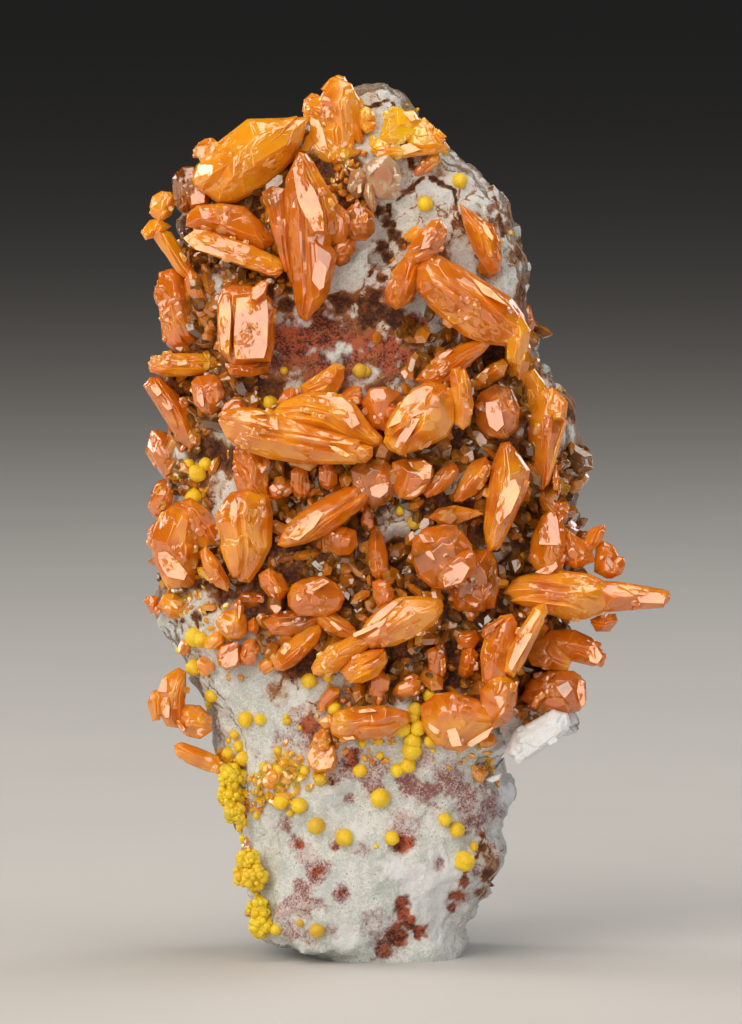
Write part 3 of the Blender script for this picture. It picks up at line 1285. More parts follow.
# %% Growth group
# The axes of a crystal are in millimetres, so these are waves to a millimetre.
LINES = 4.6
LINE_STRETCH = (0.07, 1.0, 1.0)
LINE_RANGE = (0.42, 0.6)
LINE_LEAST = 0.15
CLOUDS = 0.35
PATCH_WAVES = 0.55
PATCH_EDGE = (0.53, 0.59)
CELL_STRETCH = (0.55, 1.0, 1.6)
STEP_CELLS = 2.4
MOSAIC_CELLS = 0.55
# Heights of the lines, the mosaic and the steps.
GROWTH_HEIGHTS = (0.12, 0.9, 7.0)


def vector_maths(tree, operation, first, second, output="Vector"):
    """One sum of two vectors."""
    made = add_node(tree, "ShaderNodeVectorMath", {0: first, 1: second}, operation=operation)
    return made.outputs[output]


def growth_noise(tree, along, waves, detail):
    """Plain noise on a crystal's own axes."""
    inputs = {"Vector": along, "Scale": waves, "Detail": detail}
    return add_node(tree, "ShaderNodeTexNoise", inputs).outputs["Fac"]


def tilted_cells(tree, place, scale):
    """Height of flat cells, each tilted its own way, like a mosaic of tiny crystals."""
    inputs = {"Vector": place, "Scale": scale}
    cells = add_node(tree, "ShaderNodeTexVoronoi", inputs, feature="F1").outputs
    lean = vector_maths(tree, "SUBTRACT", cells["Color"], (0.5,) * 3)
    offset = vector_maths(tree, "SUBTRACT", place, cells["Position"])
    return vector_maths(tree, "DOT_PRODUCT", lean, offset, "Value")


def make_growth_group():
    """A node group with growth lines, tiny steps and gentle waves for crystal faces."""
    tree = bpy.data.node_groups.new("crystal_growth", "ShaderNodeTree")
    tree.interface.new_socket("Along", in_out="INPUT", socket_type="NodeSocketVector")
    tree.interface.new_socket("Steps", in_out="INPUT", socket_type="NodeSocketFloat")
    for name in ("Height", "Stepped", "Cloud"):
        tree.interface.new_socket(name, in_out="OUTPUT", socket_type="NodeSocketFloat")
    ins = tree.nodes.new("NodeGroupInput")
    outs = tree.nodes.new("NodeGroupOutput")
    along = ins.outputs["Along"]
    lines = growth_noise(tree, vector_maths(tree, "MULTIPLY", along, LINE_STRETCH), LINES, 3.0)
    cloud = growth_noise(tree, along, CLOUDS, 1.0)
    lines = maths(tree, "MULTIPLY", lines, soft_step(tree, cloud, *LINE_RANGE, LINE_LEAST, 1.0))
    stepped = soft_step(tree, growth_noise(tree, along, PATCH_WAVES, 3.0), *PATCH_EDGE)
    stepped = maths(tree, "MULTIPLY", stepped, ins.outputs["Steps"])
    squeezed = vector_maths(tree, "MULTIPLY", along, CELL_STRETCH)
    bumps = maths(tree, "MULTIPLY", tilted_cells(tree, squeezed, STEP_CELLS), stepped)
    mosaic = tilted_cells(tree, squeezed, MOSAIC_CELLS)
    height = weighted(tree, (lines, mosaic, bumps), GROWTH_HEIGHTS)
    tree.links.new(height, outs.inputs["Height"])
    tree.links.new(stepped, outs.inputs["Stepped"])
    tree.links.new(cloud, outs.inputs["Cloud"])
    return tree


growth_group = make_growth_group()
print("The growth group has", len(growth_group.nodes), "nodes")

# %% Wulfenite materials
DEEP_BROWN = (0.20, 0.055, 0.006, 1.0)
ORANGE = (0.68, 0.18, 0.005, 1.0)
YELLOW_ORANGE = (0.88, 0.36, 0.012, 1.0)
YELLOW = (0.98, 0.52, 0.015, 1.0)
GLOW_RADIUS = (0.85, 0.42, 0.08)
LIGHT_ABSORBED = (0.93, 0.42, 0.05, 1.0)
WULFENITE_IOR = 2.3
SURFACE_SHINE = 0.40
GLOW_SHARE = 0.85
VEIL_WAVES = 0.30
VEIL_STRENGTH = 1.1
# Levels of tone between which one colour passes into the next.
TO_MIDDLE = (-0.2, 0.42)
TO_LIGHT = (0.5, 1.05)
TO_YELLOW = (1.2, 1.6)
STEPS_PALER = 0.25
CRYSTAL_ROUGHNESS = (0.07, 0.16)
GROWTH_DEPTH = 0.11


def make_wulfenite(name, clear, glow, density, colours, steps):
    """Translucent crystal: share of clear light, glow depth in mm, absorption, three colours."""
    material, tree, shader, place = new_material(name)
    along = add_node(tree, "ShaderNodeAttribute", {}, attribute_name="along").outputs["Vector"]
    tone = add_node(tree, "ShaderNodeAttribute", {}, attribute_name="tone").outputs["Fac"]
    inputs = {"Along": along, "Steps": steps}
    growth = add_node(tree, "ShaderNodeGroup", inputs, node_tree=growth_group).outputs
    veil = maths(tree, "ADD", fine_noise(tree, place, VEIL_WAVES, detail=2.0), growth["Cloud"])
    veil = maths(tree, "MULTIPLY", maths(tree, "SUBTRACT", veil, 1.0), VEIL_STRENGTH)
    level = maths(tree, "ADD", tone, veil)
    deep, middle, light = colours
    colour = mixed(tree, soft_step(tree, level, *TO_MIDDLE), deep, middle)
    colour = mixed(tree, soft_step(tree, level, *TO_LIGHT), colour, light)
    colour = mixed(tree, soft_step(tree, level, *TO_YELLOW), colour, YELLOW)
    paler = maths(tree, "MULTIPLY", growth["Stepped"], STEPS_PALER)
    tree.links.new(mixed(tree, paler, colour, light), shader.inputs["Base Color"])
    rough = soft_step(tree, growth["Stepped"], 0.0, 1.0, *CRYSTAL_ROUGHNESS)
    tree.links.new(rough, shader.inputs["Roughness"])
    set_values(shader, {
        "IOR": WULFENITE_IOR, "Specular IOR Level": SURFACE_SHINE, "Transmission Weight": clear,
        "Subsurface Weight": GLOW_SHARE, "Subsurface Radius": GLOW_RADIUS,
        "Subsurface Scale": glow * MM,
    })
    fine_bump(tree, shader, growth["Height"], GROWTH_DEPTH)
    if density > 0:
        inputs = {"Color": LIGHT_ABSORBED, "Density": density / MM}
        absorb = add_node(tree, "ShaderNodeVolumeAbsorption", inputs)
        tree.links.new(absorb.outputs["Volume"], tree.nodes["Material Output"].inputs["Volume"])
    return material


BRIGHT = (DEEP_BROWN, ORANGE, YELLOW_ORANGE)
CLEAR = ((0.82, 0.27, 0.07, 1.0), (1.0, 0.48, 0.20, 1.0), (1.0, 0.62, 0.40, 1.0))
wulfenite = make_wulfenite("wulfenite", 0.0, 0.95, 0.0, BRIGHT, 0.8)
clear_wulfenite = make_wulfenite("clear_wulfenite", 0.5, 1.6, 0.05, CLEAR, 0.8)
DRUSY = ((0.14, 0.055, 0.006, 1.0), (0.60, 0.21, 0.012, 1.0), (0.90, 0.46, 0.03, 1.0))
drusy_wulfenite = make_wulfenite("drusy_wulfenite", 0.0, 0.5, 0.0, DRUSY, 0.5)
print("Made", wulfenite.name, clear_wulfenite.name, "and", drusy_wulfenite.name)

# %% [markdown]
# ## The large crystals
# On the front each row is one crystal: how its front leans, its slopes, its depth, how far it
# rises towards the viewer, its tone from brown to yellow, and its outline as points across and
# up. A row of the slopes "face" is a step, and its depth says how far it stands out. On the
# sides and the back a row gives the habit, the two ends, width, thickness, roll and tone. The
# places are those of the solid model. They could be scattered by rule, but then the specimen
# would be another one. Every cluster takes the place of the solid of the same name.

# %% Large crystals
OUTLINED = {
    "smooth_lens_top_left": """
    up roof -7.3 3 0.95 -9.1 84.9 -15.2 84.7 -17.2 82.6 -19.5 81.4 -20.1 78.8 -19.7 77.4 -18.1 76.2 -16.4
      76.3 -13.6 77.8 -10.9 80.4 -9.7 82.6,
    lamp wall -6.7 0.9 0.7 -20.7 81.6 -20.2 82.1 -19 82.2 -18.6 81.6 -18.8 80.4 -19.7 80.6 -20.5 81,
    up roof -5.3 1.5 0 -22.6 79 -21.7 79.9 -20.6 80 -19.6 79.4 -19.4 76.6 -20 75.4 -21.5 75.4 -22.5 76.1,
    lamp wall -6.1 1 0.45 -21.2 78.2 -19.2 78.3 -19 76 -21 75.8""",
    "peak_blades": """
    up crest -3.5 1.8 0.85 -8.4 86.2 -7.6 87.6 -6.8 88.8 -6.2 89.1 -5.5 88.9 -4.8 87.6 -4.3 86.2 -4.4 84.6
      -5 83.6 -6.4 83.4,
    left crest -4.5 1.5 0.95 -7.4 86.8 -6 87 -5 86 -4.6 84.8 -5.1 83.6 -6.6 83 -8.4 83.4 -9.6 84.6 -9.7 85.6
      -8.6 86.4,
    ahead ring -5.5 1.6 1.05 -9.9 81.5 -9.4 83 -7.8 83.9 -5.7 83.6 -4.7 82 -4.8 80.2 -5.7 78.9 -7.2 79 -8.8
      80.1,
    lamp face 0.1 0 1 -10 81.5 -9.4 82.7 -8.9 83.4 -8 83.4 -8.9 82.3 -9.2 81.4,
    lampb face 0.1 0 1 -6.8 80 -5.6 80.8 -5.2 80 -5.8 79 -6.6 79.2,
    right crest -5.1 0.9 0.85 -5.6 85.8 -5 86.2 -4.2 84.8 -3.6 82.8 -4 82.1 -4.8 82.8 -5.5 84.2,
    up roof -4.8 0.9 1.5 -4.6 85.6 -3.8 86.1 -3 85.8 -2.4 84.8 -2.5 83.6 -3.4 83.2 -4.3 83.9,
    lamp roof -3.7 0.9 0.7 -9.6 86.6 -8.8 87.3 -8.1 87.1 -8.2 86.2 -9.2 85.6 -9.8 85.4,
    right roof -3.8 1.2 0.55 -8.2 80.6 -7 79.6 -5.5 78.8 -4.8 77.6 -5.6 76.6 -6.8 77.6 -7.8 79,
    right crest -5.2 1.5 0.9 -6.2 88.8 -4.8 88.2 -4 86.3 -4.2 84.1 -4.6 81.8 -5.8 80.8 -7.1 82.4 -7.8 84.8
      -8.2 86.6,
    lamp face 0.1 0 0.95 -9.1 85.2 -8 84.5 -7 81.6 -8 81.4 -9.1 83.2""",
    "broken_plate_top": """
    up roof -6.7 0.8 1.7 -1.4 85.4 -0.7 86 0 85.6 1.2 84.8 2.2 84.7 2 83 0.8 82.4 -0.4 82 -1.6 82.2 -2.1
      82.8 -1.6 83.8,
    left roof -6.6 0.6 1.6 -2.8 82.6 -1.6 82.9 -1.2 81.8 -2.2 80.9 -3 81.4,
    down crest -6.9 0.8 1.2 -2.9 81.6 -1.4 82 0.5 81.8 2.4 81.6 4.2 82 3.6 81.2 0.4 80.8 -2.2 80.8,
    lamp face 0.1 0 1.1 -0.4 82 1 82.3 2.2 81.6 0.4 81.1,
    lampb roof -6.8 0.8 1.1 1.2 84 2.4 84.9 3.3 84 4.2 82.8 5 81.8 4 81.3 2 81.4 0.7 82.2,
    lampb wall -7.1 0.6 1.5 0.2 85.4 1.4 85.6 2 84.6 1 84.2,
    up roof -7.2 0.5 1.3 2.8 83.2 3.6 83.8 4.6 82.6 3.8 82""",
    "glassy_group": """
    lampb ring -8.4 1.5 1.1 -3.5 80 -2.6 80.9 -1.2 81.1 -0.2 80.2 0.2 78.6 -0.3 77.3 -1.4 76.6 -2.4 76.7
      -3.3 78,
    down face 0.12 0 0.1 -2.6 79.3 -2 80 -1.2 79.9 -0.7 78.9 -1 77.8 -1.8 77.3 -2.5 77.9,
    lamp face 0.2 0 1.1 -3.3 80 -2.5 80.6 -2 80.3 -2.6 79.4 -3.1 79,
    right crest -8.9 0.9 0.6 -3.4 78.4 -2.8 78.2 -2.3 76.2 -2.6 75.3 -3.2 75.8 -3.7 77.2,
    ahead roof -8.1 1 0.4 -5 79.4 -4 79.9 -3.3 79 -3.6 77.2 -4.4 76.6 -5.3 77.6,
    lamp face 0.1 0 0.5 -4.3 78 -3.9 78.3 -3.8 77.4 -4.2 77.2""",
    "long_dagger": """
    right roof -10.5 1.9 0.42 -10.1 81.4 -9.4 81.3 -8.6 80.4 -6.7 77.1 -6.4 75.6 -7 73.4 -7.2 70.8 -7.4 67.6
      -8.2 65.8 -9.2 64.4 -10 64.8 -10.6 66.6 -10.9 69.8 -11.2 72.6 -11.6 76.6 -11.4 78.8,
    lamp face 0.1 0 0.6 -11.1 79.8 -10.3 80.6 -8.6 77.8 -7.5 75.2 -7.2 73.2 -8.8 73.2 -10.4 77,
    left roof -9.8 1.3 0.3 -13.8 77.4 -12.8 78 -11.4 77.8 -11 75.1 -10.8 71.6 -10.4 68.1 -11 68.4 -11.8 71.6
      -13 74.4,
    lamp face 0.1 0 0.5 -8.7 70.4 -8 70.8 -7.3 69.8 -7.5 67.8 -8.1 67.5 -8.8 68.6,
    right crest -11.1 1.6 0.65 -10.1 81.4 -9.4 81.3 -6.6 77 -6.3 75.6 -6.9 73.4 -7.6 74 -8.8 77.6""",
    "tab_beside_dagger": """
    right roof -10.1 1.2 0.6 -6.9 76.8 -6.2 76.3 -5.1 75.4 -5 73.8 -5.5 72.3 -6.5 72.2 -7.2 73 -7 75.1,
    ahead roof -9.7 1.5 0.25 -5.5 75.4 -4.8 76.2 -3.6 76 -2.6 75.2 -2.5 73.4 -3.4 72.5 -4.8 72.6 -5.6 73.4,
    lamp face 0.1 0 0.4 -4.2 74.8 -3.6 75.5 -3.2 75.2 -3.3 74.3 -4.1 74.3,
    down roof -9.3 1.2 0.15 -7.2 72.5 -4.9 72.3 -5 70.4 -6.2 70 -7.4 70.8""",
    "long_lens_upper_left": """
    lamp lower -9.4 1.7 0.75 -21.7 72.8 -20.4 73.7 -18.5 73.4 -15 72.2 -12 70.8 -11.4 70 -12 69.2 -13.2 69.1
      -17 70.4 -20.4 71.6,
    up roof -8.5 1.5 0.55 -21.3 75.2 -20.2 76.1 -17.8 76.3 -15.5 76 -13.8 74.4 -12.5 72.6 -13.2 71.6 -16
      72.6 -19.5 73.8 -21.4 74""",
    "left_column": """
    left crest -4 1.2 0.75 -25 74 -24 73.8 -22.8 73.4 -21 70.4 -20.4 69.4 -21 68.6 -22.2 69.4 -24.2 72.2,
    up roof -3.8 1 0.9 -25.9 73.4 -25 74.6 -24 74.8 -22.8 74 -24 73 -25.4 72.6,
    up roof -3.8 1.2 1 -24.7 77 -23.8 77.5 -22.8 77.4 -22.3 76.4 -22.8 75.1 -24 74.4 -24.8 75 -25 76,
    left crest -4.3 1.2 0.6 -21 69.8 -20.2 69.2 -19 66.6 -18.4 64.1 -18.9 62.8 -20 63.2 -21.2 66.6 -21.6
      68.6,
    ahead roof -3.2 1.6 0.45 -24.1 69.4 -22.8 69.8 -21.6 69.1 -20.8 66.6 -20 63.6 -19.4 61.8 -22 61.6 -23.7
      62.6 -24.2 66.6""",
    "pale_tablet": """
    up roof -9.6 1.6 0.5 -18.3 66.4 -17.8 67.8 -16.8 68.2 -15 68.1 -13.6 67.6 -12.7 66.6 -12.5 62.1 -12.9
      60.4 -17 60.4 -18.2 61.6,
    lamp face 0.45 0 0.6 -18.2 66.2 -17.7 67.3 -16.9 67.3 -16.8 60.5 -18 61.6,
    lampb face 0.3 0 0.6 -16.6 67 -15.2 67.1 -13.2 66.8 -13.1 62 -13.4 60.6 -16.6 60.6,
    lampb wall -12.2 0.7 0.5 -15 66.6 -14.8 67.8 -13.8 68.6 -13.1 68.4 -13.4 67.2 -14.2 66.5,
    down ring -12.1 0.8 0.25 -16.5 62.4 -15.8 63.8 -14.4 64.1 -13.2 63.4 -13 62.1 -13.8 61.4 -15 60.8 -16.2
      61.4,
    down roof -9.2 1.2 0.3 -17.4 60 -16 60.5 -13 60.4 -13 59.4 -15 58.9 -17 59.1""",
    "lens_left_horizontal": """
    ahead crest -5.1 1.4 0.8 -25.2 60.4 -24.5 61 -23 61.3 -20 61.3 -17.8 61 -16.9 60.2 -17.8 59.5 -21 59
      -23.5 58.9 -25 59.5,
    lamp face 0.1 0 0.8 -22.4 60.5 -21.4 60.7 -21.2 60.2 -22.2 60""",
    "lens_left_slanted": """
    right crest -4.3 1.6 0.5 -25.7 58.1 -25 58.9 -24 59 -22.4 57.4 -21 55.8 -20.3 53.6 -20.2 52.1 -21 51.6
      -22.2 52.6 -23.2 54.6 -24.5 56.2,
    lamp face 0.1 0 0.7 -25.1 58 -24.4 58.4 -23.7 57.4 -24.2 56.9,
    lamp face 0.1 0 0.7 -24 56.4 -23.2 56.8 -22.6 55.8 -23.2 55.5""",
    "egg_tab_left": """
    right roof -6.9 1.2 0.65 -20.9 58.4 -20.3 59 -18.6 59.2 -17.8 58.6 -17.5 57.1 -17.8 55.8 -18.8 55.1
      -19.8 55.4 -20.6 56.2,
    lamp face 0.1 0 0.6 -20.4 58.1 -19.8 57.9 -19.5 56.1 -19.8 55.8 -20.3 56.6""",
    "front_lens_pair": """
    down crest -12.8 3 0.85 -18.2 54.6 -17.4 55.3 -16 55.7 -14.2 55.8 -11.9 55.1 -9.5 53.6 -7 52.5 -4 52
      -2.7 51.9 -2.7 51 -3.4 50.3 -6 50.4 -10 50.2 -13 50.7 -15.7 51.6 -17.4 52.8,
    lamp face 0.1 0 0.8 -17.2 55.2 -15.9 55.6 -14 55.6 -13.2 55.2 -15 55.1 -16.8 54.9,
    lamp face 0.1 0 0.8 -11.9 54.9 -11 54.7 -9 53.5 -9.4 53.3 -11 54,
    lamp face 0.1 0 0.8 -7.4 52.2 -6.4 52 -4.8 51.1 -5.4 50.8 -6.6 51.4,
    lamp face 0.1 0 0.8 -13 55 -12.4 55 -12 53.6 -13.2 53.7,
    ahead crest -11.9 2.4 0.95 -13 55 -11.9 56.3 -10 57.2 -8.4 57.5 -5.8 57.2 -4.8 56.1 -3.4 54.5 -1.7 52.9
      -1.8 52.2 -2.8 51.8 -6 53 -10 54.6,
    lamp face 0.1 0 0.8 -7.8 57.2 -5.8 57 -4.8 56 -3.8 54.2 -4.8 53.6 -5.8 55.2 -7 56.4,
    lamp wall -10.9 1.2 0.5 -18.2 54.6 -17.6 55.6 -16.6 56.5 -15.9 56.6 -15.3 55.9 -16 55.4 -17.4 54.8,
    ahead roof -9.9 1.4 0.85 -10 58.1 -8.4 59.1 -6.4 60.4 -5.5 60 -5.6 58.6 -6.2 57.4 -8.2 57.1 -9.8 56.8,
    right roof -10.5 1 0.75 -12.3 56.4 -11.6 57.6 -10.8 58 -10.2 57.4 -10.4 56.4 -11.6 55.8""",
    "faceted_tabs_middle": """
    right roof -12.6 3 0.8 -1.7 52.4 -1.2 54.1 0 56.3 1.3 57.8 2.5 58.3 5 57.9 5.6 56.6 5.6 54.6 4.8 53 2.5
      51.8 0 51.1 -1.1 51.6,
    lamp face 0.1 0 0.7 -1.3 53.8 0 56.1 1.3 57.6 2.6 58.1 3.3 57.9 3 55.5 1.9 55.2 -0.2 54.5,
    lamp face 0.1 0 0.7 -0.6 51.9 -0.1 53 1.2 54.8 2 54.8 1 53 0.1 51.7,
    right crest -13 1.4 0.75 5.2 59.8 6 60 7 58.1 7.4 56.2 7 54.2 6.3 53.6 5.5 54.2 5.2 56.6 5 58.6,
    down roof -11.2 1.6 0.3 -3.9 56.4 -3 57.8 -1.6 58 0 57.4 0.4 56.4 -0.4 54.8 -1.4 53.4 -2.8 53.8 -3.6 55,
    lamp face 0.1 0 0.5 -3.1 57.5 -2.5 57.8 -1.6 57.7 -1.3 57 -1.6 56.3 -2.9 56.3,
    lamp wall -10.6 1 0.5 -5.4 56.8 -4.6 57.2 -3.9 57.1 -3.7 56.1 -5 55.9""",
    "slanting_lens_middle": """
    down crest -10 1.6 0.5 1.5 58.6 2.4 59.8 4 61.2 5.8 62.1 8.4 62.9 9.2 62.4 8.4 61.4 6.6 60.4 5.2 58.6 4
      58 2.4 58.1,
    lamp face 0.1 0 0.6 3.6 60.9 5 61.8 5.3 61.5 4.2 60.6""",
    "slanting_bar_right": """
    down crest -8.3 1.2 0.75 6.6 57.8 7.4 59 9 60.2 10.3 60.8 10.8 60.2 10.4 59 8.6 58 7.4 57.3 6.7 57,
    lamp face 0.1 0 0.7 7.5 58.8 8.6 59.8 9 59.8 8.2 58.8""",
    "lens_upper_right": """
    ahead roof -7.4 1.8 0.7 5.9 76.3 7 75.5 8.2 74.7 9.4 74 9.9 72.6 10.2 70.7 10 69.5 9 69.1 8 70.4 7 72.8
      6.2 74.6,
    lamp face 0.1 0 0.8 8 74.4 8.6 74.2 9.4 72.8 9.2 72.4 8.4 73.4""",
    "crossed_lenses_right": """
    down crest -10.9 3 0.6 1.8 70.4 2.8 71.2 4 71.1 6.2 69.6 9 68.2 11.2 66.8 12.4 65.1 13 63.1 12.2 61.8
      10.8 62 8.6 62.2 6.4 63 4.6 64.4 2.8 66 1.7 67.8,
    lamp face 0.1 0 0.8 6.4 69.2 7 69.3 9 67.6 11.2 66 10.6 65.9 8.4 67.2,
    left crest -11.1 1.8 0.62 3 74.5 4.1 74.7 4.7 73.8 4.6 72.6 3.6 71 2 70.4 0.8 69.8 0.4 71 1.2 72.2,
    ahead roof -10.7 2 0.55 0.4 71 1.8 70.8 1.7 67.6 1 66.3 -0.4 65.6 -1.4 66.4 -1.5 67.6 -0.6 69.6,
    lamp face 0.1 0 0.6 2.4 73 3.2 74 3.8 73.8 3 71.8 2 71.6,
    ahead roof -11.5 1.4 1 10.6 62.1 10.8 64.8 12 65.4 13.1 63.6 12.7 61.6 12 60 10.8 60.4""",
    "right_edge_column": """
    left roof -6.3 1.2 0.85 10.5 62.6 12.8 62.6 13 60.4 12.4 57.8 11 57.6 10.4 60,
    right crest -6.3 1.2 0.95 12.4 59.2 13.4 59.8 14.6 58.2 14.8 55.6 13.6 53.6 12.6 54.6""",
    "blade_right_edge": """
    left roof -6.7 1.9 0.6 12.7 53.6 13.6 57.4 15.2 58 16.6 56.8 16.6 54.6 16 52.6 15.2 49.6 14.4 47.6 13.8
      47.8 13 50.6,
    lamp roof -8.2 0.8 0.9 14.2 56.4 15.6 57.4 16.8 56.4 16.6 54.8 14.8 54.6,
    right crest -7.3 1.3 0.85 16.2 54.8 16.7 54.6 16 52.1 15 48.4 14.4 47.8 14.8 50.4,
    lamp wall -6.5 0.8 0.4 15.2 50 15.7 50.2 16.2 47.6 15.8 47 15.1 48.4,
    lamp crest -6.1 1.2 0.5 13.6 47.4 14.5 47.6 16.6 46 16.8 44.8 15.6 44.4 14.2 45.6""",
    "brown_tab_right": """
    down roof -9.7 1.6 0.15 7.3 56.2 8 57.4 9.5 58.2 11.2 57.8 12 55.8 11.8 53.8 10.5 52.6 8.8 53 7.6 54.2,
    lamp face 0.1 0 0.35 8.4 56.5 9.7 56.6 10.1 55.6 10.5 54.1 9.7 53.3 8.9 54 8.5 55.4,
    lamp face 0.1 0 0.4 7.5 56.1 8.2 56.6 8.4 55.8 8 55.5""",
    "tall_blade_right": """
    right crest -10.4 2 0.62 10 52.3 10.9 52.5 12 51.1 13 49.6 12.7 47.6 11.4 44.6 10 41.8 8.8 41.4 8.4 43.6
      8.6 46.6 9.2 50.1,
    lamp face 0.1 0 0.7 10.2 48.4 11.6 48.8 12 47.4 11.2 45.4 9.9 44 9.4 45,
    down roof -9.5 1.8 0.22 5.1 40.6 7 41.6 9 41.8 9.7 40.6 9.9 37.6 9.5 35.8 7.8 35.4 5.8 35.4 5 36.6,
    lamp face 0.1 0 0.35 6.2 36.6 7 37.4 8.2 36.6 7.6 35.8,
    ahead crest -10.1 1 0.8 2.8 44.9 3.8 45.8 5.5 46.1 7.8 45.6 8.4 45.2 7 44.8 5.8 44.2 4 44.2""",
    "oblong_lens_upper": """
    ahead roof -10.1 1.4 0.6 5.3 47.4 6.2 49.4 7.4 50.6 8.6 51 9.1 50.2 8.8 48.6 7.6 47.2 6.2 46.4 5.4 46.4,
    lamp face 0.1 0 0.6 5.9 47.6 6.4 48.4 6.7 48.1 6.2 47.3""",
    "crescent_tab_right": """
    down roof -11.4 1.5 0.4 -0.8 50.4 0.4 50.8 2.4 50.7 3.3 50.2 3.4 49 2.6 47.6 1 46.6 -0.2 46.8 -1 48,
    lamp face 0.1 0 0.5 0.5 50.5 2.4 50.6 3.2 50 3.1 48.7 2.2 48.6 1.4 49.6,
    lamp face 0.1 0 0.5 0.4 46.8 1.4 47.8 2.7 48.2 1.8 47,
    ahead crest -11.2 1.3 0.55 2.3 47.2 3 48.8 4.2 49.9 5.6 50.2 5.9 49.6 5.2 48.2 3.8 47.2 2.7 46.8,
    lamp face 0.1 0 0.6 4 49 5.2 49.8 5.5 49.5 4.6 48.6""",
    "crescent_tab_left": """
    down roof -11.3 1.4 0.1 -5 49.6 -3.8 50.8 -1.5 50.8 -0.5 49.6 -0.4 47.6 -1.4 46.2 -2.6 45.8 -3.8 46.6
      -4.8 47.8,
    lamp face 0.1 0 0.4 -3.1 47.8 -2.4 48.2 -1.1 48.4 -1.2 47.4 -2 46.8 -2.8 47""",
    "pointed_lens": """
    ahead crest -11.8 2 0.72 -12.3 42.1 -11.6 43.8 -10 45.4 -7.8 46.8 -5.5 47.9 -3.8 48.1 -3.5 47.4 -4 46
      -5.2 44.6 -7 43.2 -9.5 42.2 -11.5 41.8,
    lamp face 0.1 0 0.75 -11.2 42.8 -10 44.6 -8.4 45.6 -7.6 45.3 -8.6 43.8 -10.2 42.5""",
    "brown_tab_low": """
    down roof -11 1.3 0.4 -7.8 43.6 -6 44 -4.4 43.6 -4.2 42.1 -5 41.1 -6.4 41 -7.6 41.9""",
    "faceted_ball": """
    down roof -12.2 2.2 0.3 1.1 40.6 1.2 42.6 2.4 43.8 4.5 44.2 6.2 43.6 7.2 42.1 7.5 40.1 6.5 38.4 4.8 37.6
      3 37.9 1.8 39,
    lamp face 0.1 0 0.5 4.4 37.8 4.2 39.8 6 40.6 7 39.8 6.2 38.3,
    lamp face 0.1 0 0.5 1.7 43.2 3 43.2 3.6 42.4 2.4 42.3,
    lamp face 0.1 0 0.5 2.4 41.4 3 41.6 3.6 40.6 3.1 40.5""",
    "stem_lens_middle": """
    right crest -9.7 1.2 0.4 -3 43.6 -2.4 44.2 -1.7 43.1 -1.2 41.1 -1.1 39.4 -2 38.6 -2.8 39 -3.3 41.1,
    lampb wall -9.9 0.7 0.4 -3.7 46.9 -3.2 47.1 -2.9 44.6 -3.4 44.3""",
    "rounded_left": """
    ahead roof -5.4 2.4 0.7 -25.1 42.6 -24.5 44.4 -23.5 45.8 -22 46.6 -20.4 45.8 -19.4 43.6 -20 40.6 -20.4
      38.1 -22 37.2 -23.4 37.9 -24.5 40.1,
    lamp face 0.1 0 0.7 -24.5 41.4 -23.4 41.6 -21.1 39.4 -21.5 38.4 -23.2 38.8 -24.2 40.3,
    right roof -5.9 1.8 0.6 -22.8 46.1 -21 46.9 -19.2 45.8 -18.1 43.6 -18.2 41.6 -19.6 41.4 -21.5 43.1,
    lamp roof -5.2 1 0.75 -24.6 47.4 -24 48.1 -22.9 47.3 -23 45.8 -24 45.5,
    left roof -5 1 0.6 -25.2 43.6 -24.7 44.3 -23.8 44 -24 42.6 -25 42.8,
    lamp face 0.1 0 0.8 -24 45.3 -23.2 45.7 -23.6 44.6 -24.2 44.4""",
    "small_lens_left_low": """
    right crest -8.6 1.3 0.62 -20.1 41.4 -19.4 42 -18 40.4 -17 38.4 -17.2 37.4 -18.4 37.9 -19.6 39.4""",
    "tall_lens_left": """
    right crest -10.4 2.8 0.8 -18.5 45.2 -17.6 46.6 -16.9 47.4 -15 47.8 -13.1 47.1 -12.7 45.1 -12.8 42.1
      -13.8 40 -15 38.3 -16.1 38.4 -16.9 39.8 -17.8 42.6,
    lamp face 0.1 0 0.85 -17 46.2 -16.5 47 -16.2 46 -16.5 43.6 -16.9 44.2,
    ahead roof -9.6 2 0.5 -16.7 51.6 -15.5 52 -13.8 51.8 -13 50.1 -13.2 46.6 -16 46.6 -16.6 48.6,
    lamp face 0.1 0 0.6 -14.1 49.8 -13.4 50.6 -13.2 50.2 -13.8 49.2""",
    "dome_tab": """
    down crest -11.7 2 0.5 -11.3 37.1 -10.4 38.3 -9 38.9 -7.6 39 -6.4 38.3 -5.5 36.8 -6 35.6 -7.5 34.9 -10
      35 -11.2 36,
    lamp face 0.1 0 0.6 -10.6 36.8 -9.4 38.2 -7.8 38.8 -7 38.4 -8.8 37.4 -10.2 36.4,
    left roof -10.9 1.6 0.45 -14.2 39.1 -13.2 39.8 -11.8 39.2 -11 37.6 -12 36.4 -13.2 37 -14 38,
    lamp face 0.1 0 0.5 -13.2 37.6 -12.8 37.4 -12.4 36.7 -12.9 37,
    lamp face 0.1 0 0.5 -13.1 36 -12.5 36.2 -11.8 35.8 -12.4 35.1""",
    "dark_lens_low_left": """
    down roof -10.5 1.5 0.15 -13.8 34.4 -12.5 35.2 -10.5 35.6 -8.5 35.5 -8 34.8 -9.2 33.7 -11 32.8 -12.8
      33.1""",
    "small_lens_low": """
    ahead crest -10.7 1.4 0.7 -8.8 35.4 -7.8 35.8 -6.5 35.4 -5 34.4 -4.3 33.4 -4.8 32.6 -6.2 32.9 -7.8 33.8
      -8.7 34.6,
    lamp face 0.1 0 0.8 -7.2 34.4 -6.8 34.6 -5.7 33.6 -6.2 33.4""",
